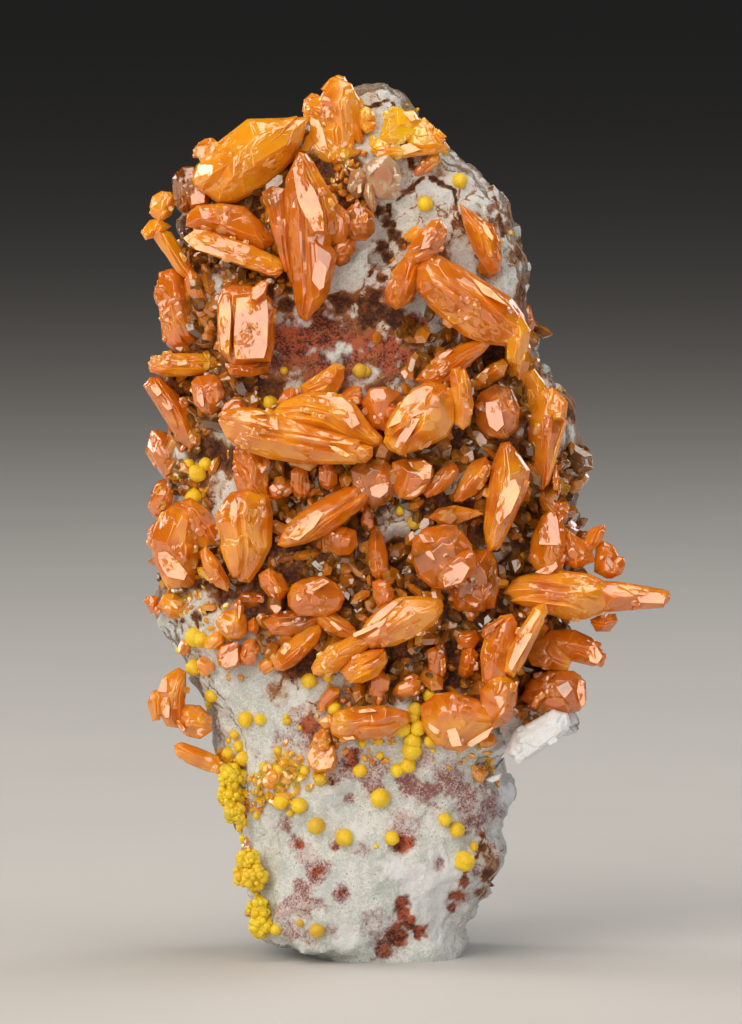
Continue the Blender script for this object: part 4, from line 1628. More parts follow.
    "textured_lens_low": """
    ahead roof -11 1.8 0.6 -12.8 30.4 -12.2 31.6 -10.8 32.8 -9.2 34 -8 34.2 -7.8 33.4 -8.6 31.8 -10 30.4
      -11.6 29.6 -12.5 29.6,
    lamp face 0.1 0 0.7 -12.2 31.4 -11.2 32.3 -10.8 32 -11.6 31""",
    "composite_lens_low": """
    down crest -12.4 2 0.95 -8.9 29.8 -8.2 31.1 -6.8 32.1 -5 32.9 -3 33 -2.8 32.1 -4.4 30.6 -6.4 29.3 -7.8
      28.9 -8.7 29.1,
    ahead roof -12.6 1.8 0.8 -6 29.4 -5 30.9 -3 31.6 -1.4 31.4 -1.2 30.4 -2.2 28.9 -3.8 28.2 -5.2 28.4,
    down crest -12.2 2.5 0.88 -4.3 33 -3 34.9 -1.5 36.2 0 36.9 2 37 4 36.7 4.4 36 3.6 34.6 1.8 33 -0.4 32
      -2.8 31.6 -4.2 32,
    lamp face 0.1 0 0.8 -3.4 34 -2.2 35.4 -0.8 36.4 0.4 36.8 -0.4 36 -1.8 34.8 -3 33.6,
    lamp face 0.1 0 0.8 -4.8 33.2 -3.2 33.8 -1.2 34.8 -1.6 34.2 -3.4 33.3 -4.6 32.8,
    lampb roof -11.6 1.2 0.5 -2.8 38.4 -2 38.7 -1 38.3 -0.6 37 -1 36 -2.2 35.8 -2.7 36.8""",
    "low_left_cluster": """
    up roof -5 1.2 0.8 -24.3 36 -23.7 37.2 -22.6 37.3 -21 36.6 -20.4 35.4 -21.6 34.7 -23.2 34.7,
    lamp face 0.1 0 0.8 -23.1 36.5 -22.7 36.5 -22.1 35.7 -22.6 35.7,
    lamp roof -4.4 1 0.5 -25.4 36.2 -25 37 -24.2 37 -24.2 35.4 -25 35.2""",
    "low_left_lenses": """
    up crest -9.2 1.5 0.8 -18.5 34.4 -17.8 35.4 -16.4 35.8 -15.4 35 -15.3 33.4 -16 32.6 -17.2 32.6 -18.2
      33.3,
    lamp face 0.1 0 0.8 -17.8 34 -17.5 34.2 -17.1 33.3 -17.5 33.2,
    up roof -9 1.1 0.65 -15.3 34.4 -14.6 34.9 -14 33.8 -14.4 33 -15.2 33.4,
    down roof -8.4 1.2 0.15 -16.4 36.6 -15.4 37.4 -13.8 37.4 -13.2 36.6 -14.2 35.7 -15.8 35.7,
    lamp wall -9.7 0.7 0.5 -16.4 34.6 -16.2 36.2 -15.7 36.1 -15.8 34.3""",
    "pale_egg": """
    lamp wall -8.6 1.3 0.75 -18.4 31.1 -18 32 -17 32.4 -15.9 32 -15.7 30.8 -16.2 29.8 -17.4 29.5 -18.2 30,
    right crest -8.6 1.2 0.7 -16 31.6 -15.2 32.8 -14.4 32.6 -14.2 31.4 -15 30.2 -15.9 30""",
    "crosswise_crystal_foot": """
    down crest -11.3 2 0.7 -7.2 24.4 -6.4 25.4 -5 25.9 -1.5 26 0.8 25.4 1 24.4 -0.5 23.1 -3 22.6 -5.5 22.4
      -6.8 23,
    up crest -11.1 1 0.75 -8.2 24.4 -7.4 25 -6.4 24.8 -6.6 23.8 -7.6 23.6,
    lamp face 0.1 0 0.8 -4.5 25.5 -2.8 25.7 -2.2 25.4 -4 25.2,
    lamp face 0.1 0 0.7 -6 22.9 -4.8 23 -4.4 22.6 -5.4 22.5""",
    "brown_lenses_foot": """
    lampb roof -9.8 1.1 0.35 5.5 32.8 6.2 33.5 7.6 33.6 8 32.6 7.4 31.7 6 31.7,
    right roof -9.7 1.3 0.35 5.8 29.4 6.2 31.6 7.2 32 7.9 31.1 7.4 29.1 6.4 28.5,
    down roof -9.5 1 0.1 3.1 30.6 3.6 32.2 4.4 32.4 4.7 30.6 4.2 28.6 3.4 28.8,
    lamp face 0.1 0 0.35 4 30.6 4.5 30.8 4.6 29.8 4.1 29.4""",
    "far_left_pair": """
    ahead roof -4.7 1.7 0.72 -24.2 27.6 -23.5 29 -22.2 29.8 -21.4 29.4 -21.4 27.6 -21.8 25.4 -22.2 23.7
      -23.4 23.9 -24.2 25.4,
    lamp face 0.1 0 0.7 -24.3 27.4 -23.8 28.7 -23.3 28.8 -23.3 27.2,
    lamp face 0.1 0 0.7 -24.1 26 -23.7 26.8 -23.1 26.8 -23 24.8 -23.5 24.7,
    left roof -4.5 1.2 0.8 -25.3 26.1 -24.9 27.4 -24.1 27.6 -23.9 26.1 -24 24.5 -24.8 24.4,
    up roof -4.9 1.5 0.75 -22.7 25.1 -21.5 26 -20 26 -18.8 24.8 -18.8 23.4 -20 22.6 -21.4 22.9 -22.4 23.9,
    lamp face 0.1 0 0.7 -22.6 24.6 -22 24.5 -21.4 23.5 -21.8 23.3,
    lamp face 0.1 0 0.7 -20.4 23.6 -19.7 23.9 -19.3 23.5 -19.7 22.8 -20.3 22.9""",
    "far_left_bar": """
    up crest -3.9 1.2 0.85 -22.7 21.9 -22 22.2 -20 21.6 -18.2 20.9 -17.6 20 -17.8 19 -19.5 19.4 -21.4 20.2
      -22.4 21.1""",
    "peach_tab_low": """
    lamp wall -10.1 1 0.8 -9.4 20.9 -8.8 21.9 -7.8 22.4 -6.6 22 -6.2 20.6 -6.6 19.4 -8.2 19.2 -9.1 19.8,
    up roof -11 0.7 0.95 -8.4 22.1 -7.8 22.7 -7 22.4 -7.2 21.6 -8.2 21.4""",
    "star_cluster_right": """
    ahead crest -7.8 2.4 0.85 10.1 37.2 11.2 38.4 13 39.1 16 39.6 19 39.2 21 38.2 21.2 36 20 35.1 18.5 34.6
      16.5 34.6 14 35.4 12 36.3,
    ahead crest -7.6 1.7 0.7 18.5 38.6 22 38.4 25 37.9 26.4 37.5 26.8 36.6 26.4 35.8 24 35.6 20 35.3,
    lampb face 0.1 0 0.8 23.4 37.4 26 37.3 26.6 36.8 26.4 36.2 24 36.3,
    down roof -7.3 1.8 0.45 12.8 40.6 13.2 43.1 14.2 45.1 15 45.6 15.6 45.4 16.2 43.1 16.6 40.6 16 39.2 14
      39,
    lamp face 0.1 0 0.4 13.8 42.1 14.3 44.8 15 45.5 15.6 45.3 16.3 42,
    lamp face 0.1 0 0.6 13.3 39.3 14.8 39.6 15.6 40.5 15.8 39.9 15 39.1,
    up roof -6.7 1.2 0.5 16.2 42.1 16.8 43.6 17.6 42.6 19 42.1 19.6 40.4 17.5 39.8 16.2 40.6,
    ahead crest -6.9 1 0.65 18 41.8 19 43.7 20.4 44.2 20.6 43.6 19.8 42 18.8 41.3,
    right roof -6.3 1.2 0.5 19.6 42.1 20.4 42.5 21.4 42 22.2 40.4 22.2 39.1 20.8 38.7 19.4 39.4,
    lamp face 0.1 0 0.6 20 41 20.6 41.1 20.4 40.7 20 40.6,
    lampb roof -6.7 1.2 0.35 19 34.6 20 35 21.6 35.2 21.8 34.4 21 33.4 19.6 33.4""",
    "low_right_lens": """
    ahead roof -6.2 1.7 0.5 14 32.6 15.2 33.6 17.5 33.6 19.2 32.8 20.3 31.4 20.4 30.4 19.4 29.9 17.2 30.4 15
      31.1,
    lamp face 0.1 0 0.7 18.7 32 19.6 32 20.3 30.9 19.8 30.1 19 30.4,
    up crest -6.8 1.3 0.8 12.6 31.1 13.4 32.4 14.8 32.8 16 31.6 17.2 30.4 16.8 29.4 14.8 29.6 13.2 30,
    lamp face 0.1 0 0.8 14 30.6 14.6 31.1 15.3 30.6 15.1 29.9 14.2 30""",
    "crown_and_blade_right": """
    down roof -11.2 2.2 0.65 2.1 26 3.6 27.2 5.5 27.4 7.8 26.6 9.6 25 9.7 23.8 8 22.4 6.2 21.3 4.4 21.6 3
      23.1 2.2 24.6,
    lamp face 0.1 0 0.75 2.7 25 3.4 24.4 4.2 23.3 3.6 22.9 2.9 23.7,
    lamp face 0.1 0 0.75 4.6 23.5 5.6 23.8 6.3 21.9 5.2 21.8,
    lamp face 0.1 0 0.75 6.4 22 8 23.1 9.4 23.9 8.8 22.8 7.2 21.8,
    lampb roof -11.4 1.8 0.7 8 27.6 9.2 28.8 10.6 29 11.8 28.2 11.7 26.2 10.8 24.2 9.4 23.6 8.1 24.4,
    ahead crest -11.3 1.8 0.6 8 31.1 8.6 33.4 10 35 11.2 35.2 11.6 34 11.2 31.1 10.5 28.6 9.2 27.4 8.2 28.4,
    left crest -12.2 1.6 0.8 10.4 29.4 10.8 31.6 12 33.6 13.3 35.8 14.5 36.4 14.8 35.4 14 33.6 12.8 31.1
      11.4 28.8,
    lamp face 0.1 0 0.8 10.8 30 11.5 31.9 12.8 33.4 13.3 33.2 12.1 31.1 11.2 29.3,
    lamp wall -11.8 0.8 0.4 8.1 33 8.6 34 10.2 34.9 10.7 34.7 9.4 33.7 8.4 32.7""",
    "lower_right_group": """
    down roof -6.8 1.8 0.4 12 26.6 13 28.6 15 29.6 17.4 29.4 18.6 28.4 18.7 26.6 18 25.4 16 25 14 25.4,
    lamp face 0.1 0 0.5 17.8 28.9 18.4 28.4 18.6 26.1 18.1 25.6 17.7 27.4,
    lampb wall -8.4 0.8 0.6 12.9 25.8 13.3 27 14.2 27.6 14.4 27.2 13.7 25.6,
    lamp face 0.1 0 0.5 15.6 27.8 16.8 28.5 17.3 27.6 16.5 26.6,
    lamp face 0.1 0 0.5 14.1 28.6 15 29.4 15.6 29.2 14.6 28.2""",
}
CRYSTALS = {
    "side_right_upper": [
        ("lens", (11.6, 3.5, 62.0), (13.2, 4.0, 65.6), 2.6, 1.7, 20, 0.4),
        ("tab", (11.9, 4.6, 60.4), (13.3, 5.2, 62.3), 2.2, 1.4, 40, 0.4),
    ],
    "side_right_lower": [
        ("lens", (14.9, 1.6, 38.8), (19.9, 3.6, 42.2), 4.4, 2.8, 10, 0.4),
    ],
    "side_left_upper": [
        ("lens", (-20.7, 2.6, 63.7), (-24.5, 4.2, 68.3), 4.4, 2.8, 15, 0.4),
    ],
    "side_left_middle": [
        ("lens", (-21.6, 3.6, 47), (-25.2, 4.4, 53), 5, 3, 10, 0.4),
        ("tab", (-21.5, 4.4, 47.3), (-24.9, 6.8, 45.9), 3.4, 2, 30, 0.4),
    ],
    "back_upper": [
        ("lens", (-11.8, 11.1, 70.1), (-6.2, 12.9, 73.9), 5, 3, 60, 0.4),
        ("tab", (-5.7, 11.7, 71.6), (-4.3, 13.5, 75.6), 3.6, 2.2, 20, 0.4),
    ],
    "back_middle": [
        ("lens", (4.1, 12.9, 49.2), (7.9, 14.7, 44.8), 4.4, 2.8, 50, 0.4),
    ],
}
CLEAR_CLUSTERS = {"glassy_group"}

crystal_faces = 0
for name in [*OUTLINED, *CRYSTALS]:
    rng = random.Random(name)
    bodies = new_bodies()
    surfaces = []
    for row in rows_of(OUTLINED.get(name, "")):
        grow_outlined(row, rng, bodies, surfaces)
    for row in CRYSTALS.get(name, []):
        grow_crystal(row, rng, bodies)
    material = clear_wulfenite if name in CLEAR_CLUSTERS else wulfenite
    piece = finish_crystals("crystals_" + name, unite(name, bodies), material)
    crystal_faces += len(piece.data.polygons)
    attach(piece, "root")
    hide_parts(name)
print(len(OUTLINED) + len(CRYSTALS), "clusters with", crystal_faces, "faces")

# %% [markdown]
# ## Small crystals set by hand
# Between the large crystals some small ones can be told apart in the photograph. Each row gives
# the habit, the two ends as seen from the front, width, thickness, roll and tone. A depth for
# each could be written down too, but the rock itself tells it: a ray from the front finds it.

# %% Small crystals by hand
SMALL_CRYSTALS = rows_of("""
    bar 1.2 78.8 3.9 81.1 1.2 1 20 0.7, tab -20.6 81 -18.4 82.4 1.6 1.2 40 0.6,
    tab -17.8 55 -15.4 56.6 2 1.2 60 0.5, tab -5.8 56.6 -3.8 57.8 2 1.2 30 0.4,
    lens -10 46.6 -9.9 50.4 2.2 1.6 5 0.4, lens -7.2 47.6 -7.2 50.8 2 1.6 5 0.4,
    lens -13.2 46.8 -10.8 48.8 2 1.5 5 0.2, lens -2.3 26.4 -2.1 30.2 2.2 1.6 10 0.5,
    lens -3.1 43.4 -3.4 46.6 1.6 1 0 0.5, lens -0.9 27.3 2.2 28.7 2 1.6 10 0.5,
    lens 3.5 28.6 3.9 32.4 2 1.8 10 0.3, lens -6.8 70.2 -4.4 72.8 2.4 1.8 10 0.3,
    lens -24.8 44.6 -23 47.8 2.4 1.8 10 0.5, bar -8.2 25.8 -6 28 1.2 0.9 20 0.6,
    bar -16.2 34.2 -16 36.4 0.9 0.7 20 0.6, bar 8.2 33 10.4 34.8 1.3 1 20 0.5,
    tab -13.6 17.8 -12 19.4 1.6 1.2 40 0.9, bar 12.6 25.2 14.6 28 1.3 1 20 0.5,
    lens -15.8 30 -14.6 33 2 1.5 10 0.5, tab 3 24.4 5.6 22.8 1.8 1.3 30 0.9,
    tab 5.4 23.6 7.6 22.4 1.8 1.3 30 0.8, tab 7.4 23.4 9.6 22.2 1.7 1.2 30 0.9,
    tab 7 19.6 8.4 18.2 1.2 0.9 40 1, tab 9.3 18.3 10 17.3 0.7 0.6 40 0.7,
    tab 0.8 72.6 2.2 73.8 1.5 1.1 45 1, lens -19.6 31.6 -17.6 33.4 1.8 1.4 20 1,
    tab -22 30.8 -21.2 32.4 1.3 1 30 1, tab -20.4 30.4 -18.6 29.4 1.6 1.2 40 0.9,
    lens -14.2 29.6 -12.4 30.8 1.7 1.2 20 0.9, tab -8.6 22.4 -7 23.2 1.7 1.3 40 0.8
""")

HAND_SET_SEED = 11
HAND_SET_SINK = 0.3
HAND_SET_LEAN = 0.6
BESIDE_ROCK = Vector((0, -4, 0))

bodies = new_bodies()
rng = random.Random(HAND_SET_SEED)
for habit, xa, za, xb, zb, width, thickness, roll, tone in SMALL_CRYSTALS:
    spot, _ = on_rock((xa + xb) / 2, (za + zb) / 2)
    depth = (BESIDE_ROCK if spot is None else spot).y - HAND_SET_SINK * width
    ends = (xa, depth, za), (xb, depth - HAND_SET_LEAN, zb)
    grow_crystal((habit, *ends, width, thickness, roll, tone), rng, bodies)
small = finish_crystals("small_crystals", unite("small_crystals", bodies), wulfenite)
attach(small, "root")
print(len(SMALL_CRYSTALS), "small crystals with", len(small.data.polygons), "faces")

# %% [markdown]
# ## White chips
# At the lower right a ledge of chalk-white rock sticks out where a piece was broken off. The
# rock's own mesh is too coarse for such sharp chips. They are angular, so they are made like the
# crystals, from outlines, but in a chalky white.

# %% White chips
CHALK_SHADED = (0.82, 0.84, 0.87, 1.0)
CHALK_ROUGHNESS = (0.7, 0.9)
CHIPS_SEED = 8
CHALK_PIECES = """
    ahead lower -8.6 1.3 0.5 10.4 21.2 11.6 20.6 13 20.6 14.2 21.6 15.6 22.4 17 23.6 16.6 25 15.4 25.6 13.4
      24.2 11.4 23.4,
    lampb wall -8.2 0.8 0.5 14.2 24.2 15.2 25.6 16.8 25.2 17.1 24 16 23,
    down roof -9 0.8 0.5 11 21.4 13.2 21 14.6 22.4 12.6 22.8,
    lampb wall -7.6 0.5 0.5 8.6 18.5 9.3 18.9 10.2 19.2 10 18.5 9.2 18.2
"""


def make_chalk():
    """Chalk-white broken rock."""
    material, tree, shader, place = new_material("chalk")
    grain = add_grain(tree, place, 0.4)
    colour = mixed(tree, grain["Mottle"], CHALK_WHITE, CHALK_SHADED)
    tree.links.new(mixed(tree, grain["Speck"], colour, SPECK_BROWN), shader.inputs["Base Color"])
    rough = soft_step(tree, grain["Mottle"], 0.0, 1.0, *CHALK_ROUGHNESS)
    tree.links.new(rough, shader.inputs["Roughness"])
    fine_bump(tree, shader, grain["Height"], 0.2)
    return material


bodies = new_bodies()
rng = random.Random(CHIPS_SEED)
surfaces = []
for row in rows_of(CHALK_PIECES):
    grow_outlined(row, rng, bodies, surfaces)
chips_piece = finish_crystals("white_chips", unite("white_chips", bodies), make_chalk())
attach(chips_piece, "root")
print("The white chips have", len(chips_piece.data.polygons), "faces")

# %% [markdown]
# ## Druse
# The rock between the large crystals is crowded with crystals of one to four millimetres, more
# brown than the large ones because less light reaches them. They are too many to set by hand,
# and a particle system would not leave one plain mesh. So each place is drawn from seeded random
# numbers inside the covered parts of the rock, and the rock tells how deep the crystal lies and
# which way it leans. They have no rounded edges, as they are too small for that to show.

# %% Where the druse grows
# Parts that stay bare: lowest and highest across, lowest and highest up.
BARE = rows_of("""
    -13.6 0.4 56.6 68.6, -8 8 66 92, -26 -14 20 37.4, -21.4 -15.2 43.6 53.4, -30 30 -5 25.6, 3 12 71 92,
    -1.6 1.2 42 46.2, -14 -4.4 25 31, 8.5 20 64 92, 13.6 20 52 66
""")
# Patches of tiny crystals: across, up, spread, count, shortest, longest, tone.
PATCHES = rows_of("""
    -12.8 18.8 2.4 60 0.9 2 1.1, -10.2 19.4 1.8 26 0.8 1.7 1, -13.8 16.4 1.4 22 0.8 1.7 1.1,
    -8 19 1.2 10 0.6 1.3 1, -17.2 19.6 1.6 22 0.7 1.6 0.9, -17.2 16.2 1.6 22 0.7 1.5 0.8,
    -17 13 1.4 14 1 2 0.1, -16.4 10.6 1.4 18 0.8 1.6 0.8, -15.4 4.6 1.4 14 0.6 1.3 0.9,
    7.6 21.2 2.4 30 0.7 1.6 0.9, 8.6 18.9 1 8 0.6 1.3 0.9, 13.4 25.4 2.6 30 0.8 1.9 0.4,
    5 24.6 3 26 0.8 1.6 0.8, -3 23.4 3 26 0.6 1.4 0.8, -6 25.6 3 30 0.7 1.6 0.5,
    -14.2 74.2 2 26 0.7 1.4 0.7, -11.6 76.4 2 26 0.6 1.2 0.6, -12.4 71.6 2.4 26 0.6 1.3 0.4,
    -23.4 68.4 1.6 20 0.8 1.7 0.8, -23.2 65.4 1.6 20 0.8 1.7 0.7, -22.8 61.6 1.8 22 0.8 1.7 0.6,
    1 83.4 2.6 34 0.4 1 1.5, 3.4 82.6 2 26 0.4 1 1.3, -5.6 84 1.6 12 0.5 1 0.8, 8.6 73 1.6 10 0.6 1.2 0.9,
    -20.4 36.6 2.4 26 0.7 1.6 0.9, -17.2 30.2 2.4 20 0.6 1.4 0.8, -5.4 80.2 2.6 26 0.8 1.8 0.6,
    -5 77 2.4 24 0.8 1.8 0.4, -12.6 68.6 2.4 20 0.8 1.8 0.3, 14.8 49 2 22 0.6 1.3 1,
    16 43 1.8 20 0.6 1.2 1.1, 15.4 56 1.4 14 0.5 1.1 0.9, 1 71 2 12 0.6 1.2 0.6, -19 55 2 16 0.7 1.5 0.5,
    -21.6 41 2 20 0.8 1.6 0.8
""")
# Patches on the back: across, up, spread, count.
BACK_PATCHES = rows_of("-8.5 72.5 2.6 34, 6 47 2.2 26, -3 60 4 12, 2 30 5 10")
print(len(PATCHES), "patches in front and", len(BACK_PATCHES), "behind")

# %% Setting a small crystal
SMALL_HABITS = ("lens", "lens", "tab")
SMALL_WIDTH = (0.45, 0.7)
SMALL_THICKNESS = (0.25, 0.42)
SMALL_UPRIGHT = (0.1, 0.9)
SMALL_LIFT = (-0.1, 0.2)


def add_small(target, rng, spot, facing, length, tone, habit=None):
    """Set one small crystal on the rock, leaning out of it."""
    habit = habit or rng.choice(SMALL_HABITS)
    half = Vector((length, length * rng.uniform(*SMALL_WIDTH),
                   length * rng.uniform(*SMALL_THICKNESS))) / 2
    crystal = cut_block(crystal_planes(habit, half, rng, False), half.length)
    mark_body(crystal, tone, new_phase(rng))
    loose = Vector([rng.gauss(0, 1) for _ in range(3)]).normalized()
    axis = (loose + facing * rng.uniform(*SMALL_UPRIGHT)).normalized()
    centre = spot + facing * length * rng.uniform(*SMALL_LIFT)
    place = crystal_frame(centre - axis, centre + axis, rng.uniform(0, 180))
    bmesh.ops.transform(crystal, matrix=Matrix.Scale(MM, 4) @ place, verts=crystal.verts)
    bmesh.ops.recalc_face_normals(crystal, faces=crystal.faces)
    mesh = mesh_from(crystal, "one")
    target.from_mesh(mesh)
    bpy.data.meshes.remove(mesh)


def joined(name, bm, material):
    """One object from many small shapes."""
    obj = add_object(name, mesh_from(bm, name))
    obj.data.materials.append(material)
    return obj


print("A small crystal is up to", SMALL_WIDTH[1], "times as wide as it is long")

# %% Druse on the front
DRUSE_SEED = 21
DRUSE_COUNT = 1050
DRUSE_PARTS = ((-24.5, 18.5), (24.0, 84.0))
DRUSE_LENGTH = (1.1, 3.0)
DRUSE_TONE = (-0.65, 0.5)
LENS_COUNT = 190
LENS_PARTS = ((-24.0, 17.5), (26.0, 82.0))
LENS_LENGTH = (2.2, 4.2)
LENS_TONE = (-0.3, 0.55)
RIM_FACING = -0.35
PATCH_TONE = 0.2


def covered_places(rng, count, parts, rim=math.inf):
    """Random places between the large crystals, off the rim, and the way the rock faces."""
    placed = 0
    while placed < count:
        across, up = rng.uniform(*parts[0]), rng.uniform(*parts[1])
        spot, facing = on_rock(across, up)
        if spot is not None and not in_any(BARE, across, up) and facing.y <= rim:
            yield spot, facing
            placed += 1


rng = random.Random(DRUSE_SEED)
druse = bmesh.new()
for spot, facing in covered_places(rng, DRUSE_COUNT, DRUSE_PARTS):
    tone = rng.uniform(*DRUSE_TONE)
    add_small(druse, rng, spot, facing, rng.uniform(*DRUSE_LENGTH), tone)
for spot, facing in covered_places(rng, LENS_COUNT, LENS_PARTS, RIM_FACING):
    length = rng.uniform(*LENS_LENGTH)
    add_small(druse, rng, spot, facing, length, rng.uniform(*LENS_TONE), "lens")
for across, up, spread, count, shortest, longest, tone in PATCHES:
    for _ in range(int(count)):
        spot, facing = on_rock(rng.gauss(across, spread / 2), rng.gauss(up, spread / 2))
        if spot is not None:
            length = rng.uniform(shortest, longest)
            own_tone = tone + rng.uniform(-PATCH_TONE, PATCH_TONE)
            add_small(druse, rng, spot, facing, length, own_tone)
druse = joined("druse_front", druse, drusy_wulfenite)
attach(druse, "root")
print("The druse on the front has", len(druse.data.polygons), "faces")

# %% Druse on the sides and the back
SIDE_COUNT = 320
# The left side carries twice as many as the right one: lowest and highest up.
SIDE_HEIGHTS = {-1: (37.0, 80.0), 1: (26.0, 50.0)}
SIDE_DEPTH = (-4.0, 2.2)
SIDE_LENGTH = (1.0, 2.6)
SIDE_TONE = (0.0, 0.9)
BACK_LENGTH = (0.7, 2.2)
BACK_TONE = (-0.2, 0.8)
FAR_OFF = 60

edges = bmesh.new()
for _ in range(SIDE_COUNT):
    side = rng.choice((-1, -1, 1))
    start = Vector((side * FAR_OFF, rng.gauss(*SIDE_DEPTH), rng.uniform(*SIDE_HEIGHTS[side])))
    hit = rock_tree.ray_cast(start * MM, Vector((-side, 0, 0)))
    if hit[0] is not None:
        length = rng.uniform(*SIDE_LENGTH)
        add_small(edges, rng, hit[0] / MM, hit[1], length, rng.uniform(*SIDE_TONE))
for across, up, spread, count in BACK_PATCHES:
    for _ in range(int(count)):
        start = Vector((rng.gauss(across, spread), FAR_OFF, rng.gauss(up, spread)))
        hit = rock_tree.ray_cast(start * MM, -INTO)
        if hit[0] is not None:
            length = rng.uniform(*BACK_LENGTH)
            add_small(edges, rng, hit[0] / MM, hit[1], length, rng.uniform(*BACK_TONE))
edges = joined("druse_edges", edges, drusy_wulfenite)
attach(edges, "root")
print("The druse on the sides and the back has", len(edges.data.polygons), "faces")

# %% [markdown]
# ## Mimetite
# Mimetite forms round, slightly lumpy balls, bright yellow and semi-matt. The single balls on
# the bare rock are set by hand from the photograph. Along the left edge they run into a crust,
# where each ball of the solid model becomes a small heap of them. Metaballs would melt the heap
# together, and these stay round and only touch. Noise makes each ball a little lumpy.

# %% Mimetite material
MIMETITE_DEEP = (0.62, 0.30, 0.02, 1.0)
MIMETITE_BRIGHT = (0.97, 0.68, 0.02, 1.0)
MIMETITE_OCHRE = (0.62, 0.38, 0.03, 1.0)
MIMETITE_GLOW = (1.0, 0.75, 0.15)
BRIGHTER = 0.6
OCHRE_WAVES = 0.16
OCHRE_EDGE = (0.52, 0.66)
OCHRE_SHARE = 0.8
MIMETITE_ROUGHNESS = (0.32, 0.5)


def make_mimetite():
    """Semi-matt yellow with a fine lumpy grain."""
    material, tree, shader, place = new_material("mimetite")
    grain = add_grain(tree, place, 0.0)
    colour = mixed(tree, grain["Mottle"], MIMETITE_BRIGHT, MIMETITE_DEEP)
    colour = mixed(tree, BRIGHTER, colour, MIMETITE_BRIGHT)
    ochre = fine_noise(tree, place, OCHRE_WAVES, detail=1.0)
    ochre = soft_step(tree, ochre, *OCHRE_EDGE, 0.0, OCHRE_SHARE)
    tree.links.new(mixed(tree, ochre, colour, MIMETITE_OCHRE), shader.inputs["Base Color"])
    rough = soft_step(tree, grain["Mottle"], 0.0, 1.0, *MIMETITE_ROUGHNESS)
    tree.links.new(rough, shader.inputs["Roughness"])
    set_values(shader, {"Subsurface Weight": 0.4, "Subsurface Radius": MIMETITE_GLOW,
                        "Subsurface Scale": 0.4 * MM})
    fine_bump(tree, shader, grain["Height"], 0.07)
    return material


mimetite = make_mimetite()
print("Made", mimetite.name)

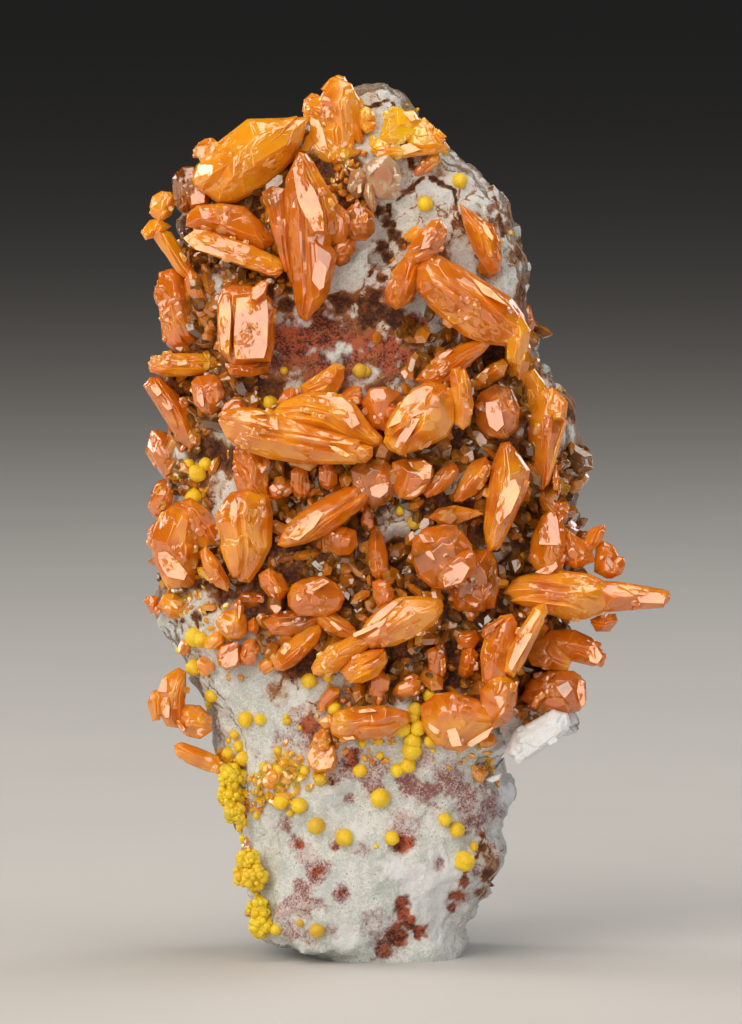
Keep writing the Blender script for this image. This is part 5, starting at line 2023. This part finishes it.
# %% Mimetite balls
# Each ball: across, up, radius.
BALLS = rows_of("""
    6 78.4 0.8, 2.5 76.2 0.8, -4 59.6 0.75, -3.4 59.5 0.6, -13 56.4 0.75, -11.6 59.6 0.4, -20.3 49.1 0.9,
    -19.5 50 0.7, -21.2 49.8 0.7, -20.7 46.6 0.9, -20.6 32.7 1, -19.9 32.5 0.8, -20.7 29.5 0.85,
    -22.2 31.1 0.4, -18.9 26.7 0.7, -19.1 25.5 0.55, -15.5 24.5 0.8, -14 24.5 0.6, -17.2 22.1 0.3,
    -11.3 24.5 0.45, -12.2 21.5 0.4, -15.7 20.4 0.8, -15.8 18.5 0.8, -12.1 19.5 0.7, -8 18.7 0.65,
    -11.9 16.3 0.8, -10.1 16 0.85, -11 15.2 0.4, -8.4 14 0.9, -5.6 12.9 0.9, -2.4 12 0.26, -4 19.6 0.7,
    -0.3 19.6 0.7, -2 16.8 1, -0.8 12.8 0.75, 4.5 14.6 0.7, 5.7 13.5 0.8, 6.5 10.3 1.05, 7.4 11.6 0.5,
    -8.3 3.5 0.77, -10 4.2 0.4, 3.3 21.6 0.25, -9.1 28.6 0.8, -7.2 29 0.5, -6.5 25.8 0.7, -0.1 45.7 0.5,
    1.5 44.4 0.7, 2.6 44.1 0.6, 3 27.1 0.8, 1.5 25.7 0.8, 1.4 24.9 0.6, 0.2 23.9 0.9, 1.8 23.9 0.8,
    1.2 21.6 1, 1.3 22.6 0.9, 0.8 20.1 0.8, -14.5 9.6 0.9, -14.2 8.1 0.9, -14.8 8.8 0.9, -14 5.1 0.9,
    -14.2 3.6 0.9, -12.5 3.3 0.6, -3.8 22.4 0.5, -2.2 22.6 0.5, -2 21.1 0.4, 3 22.6 0.6, -9.5 19.6 0.5,
    -17.2 20.8 0.7, -11.4 24.9 0.35, -10 23.8 0.3, -12.1 21.7 0.3, -14.4 14.6 0.4, -13.6 19.8 0.5,
    -16 12.8 0.6, -15.8 11.8 0.5, -16.2 21.6 0.6, -16.6 22.8 0.5, -15.4 13.6 0.45, -14.6 7 0.5,
    -14.2 6.4 0.45, -13.2 4.4 0.4
""")
LUMPS = 0.14
LUMP_WAVES = 1.6
BALL_OUT = 0.35


def add_ball(target, centre, radius, divisions):
    """One lumpy ball, centre and radius in millimetres."""
    ball = bmesh.ops.create_icosphere(target, subdivisions=divisions, radius=radius * MM)["verts"]
    for vert in ball:
        grow = 1 + LUMPS * noise.noise(vert.co / MM * LUMP_WAVES + centre)
        vert.co = vert.co * grow + centre * MM


balls = bmesh.new()
for across, up, radius in BALLS:
    spot, _ = on_rock(across, up)
    if spot is not None:
        add_ball(balls, Vector((across, spot.y - BALL_OUT * radius, up)), radius, 3)
balls = joined("mimetite_balls", balls, mimetite)
balls.data.shade_smooth()
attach(balls, "root")
print(len(BALLS), "balls with", len(balls.data.polygons), "faces")

# %% Mimetite crusts
# The balls of the solid model: across, into the picture, up, radius.
CRUST_BALLS = {
    "mimetite_crust_upper": [(-17.0, -5.4, 18.6, 1.3), (-17.0, -4.8, 16.6, 1.3), (-16.6, -5.6, 14.9, 1.1)],
    "mimetite_crust_middle": [(-15.2, -6.6, 10.2, 1.2), (-14.6, -7.2, 8.6, 1.3), (-15.6, -5.6, 8.6, 1.2)],
    "mimetite_crust_foot": [(-14.2, -6.6, 5.4, 1.2), (-14.0, -6.8, 3.6, 1.2)],
}
HEAP = 44
HEAP_SEED = 31
HEAP_CORE = 0.8
HEAP_SIZE = (0.16, 0.52)
HEAP_SINK = 0.6

rng = random.Random(HEAP_SEED)
for name, centres in CRUST_BALLS.items():
    crust = bmesh.new()
    for x, y, z, radius in centres:
        add_ball(crust, Vector((x, y, z)), radius * HEAP_CORE, 3)
        for _ in range(HEAP):
            out = Vector([rng.gauss(0, 1) for _ in range(3)]).normalized()
            size = rng.uniform(*HEAP_SIZE)
            add_ball(crust, Vector((x, y, z)) + out * (radius - HEAP_SINK * size), size, 2)
    crust = joined("balls_" + name, crust, mimetite)
    crust.data.shade_smooth()
    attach(crust, "root")
    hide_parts(name)
    print(name, "has", len(crust.data.polygons), "faces")
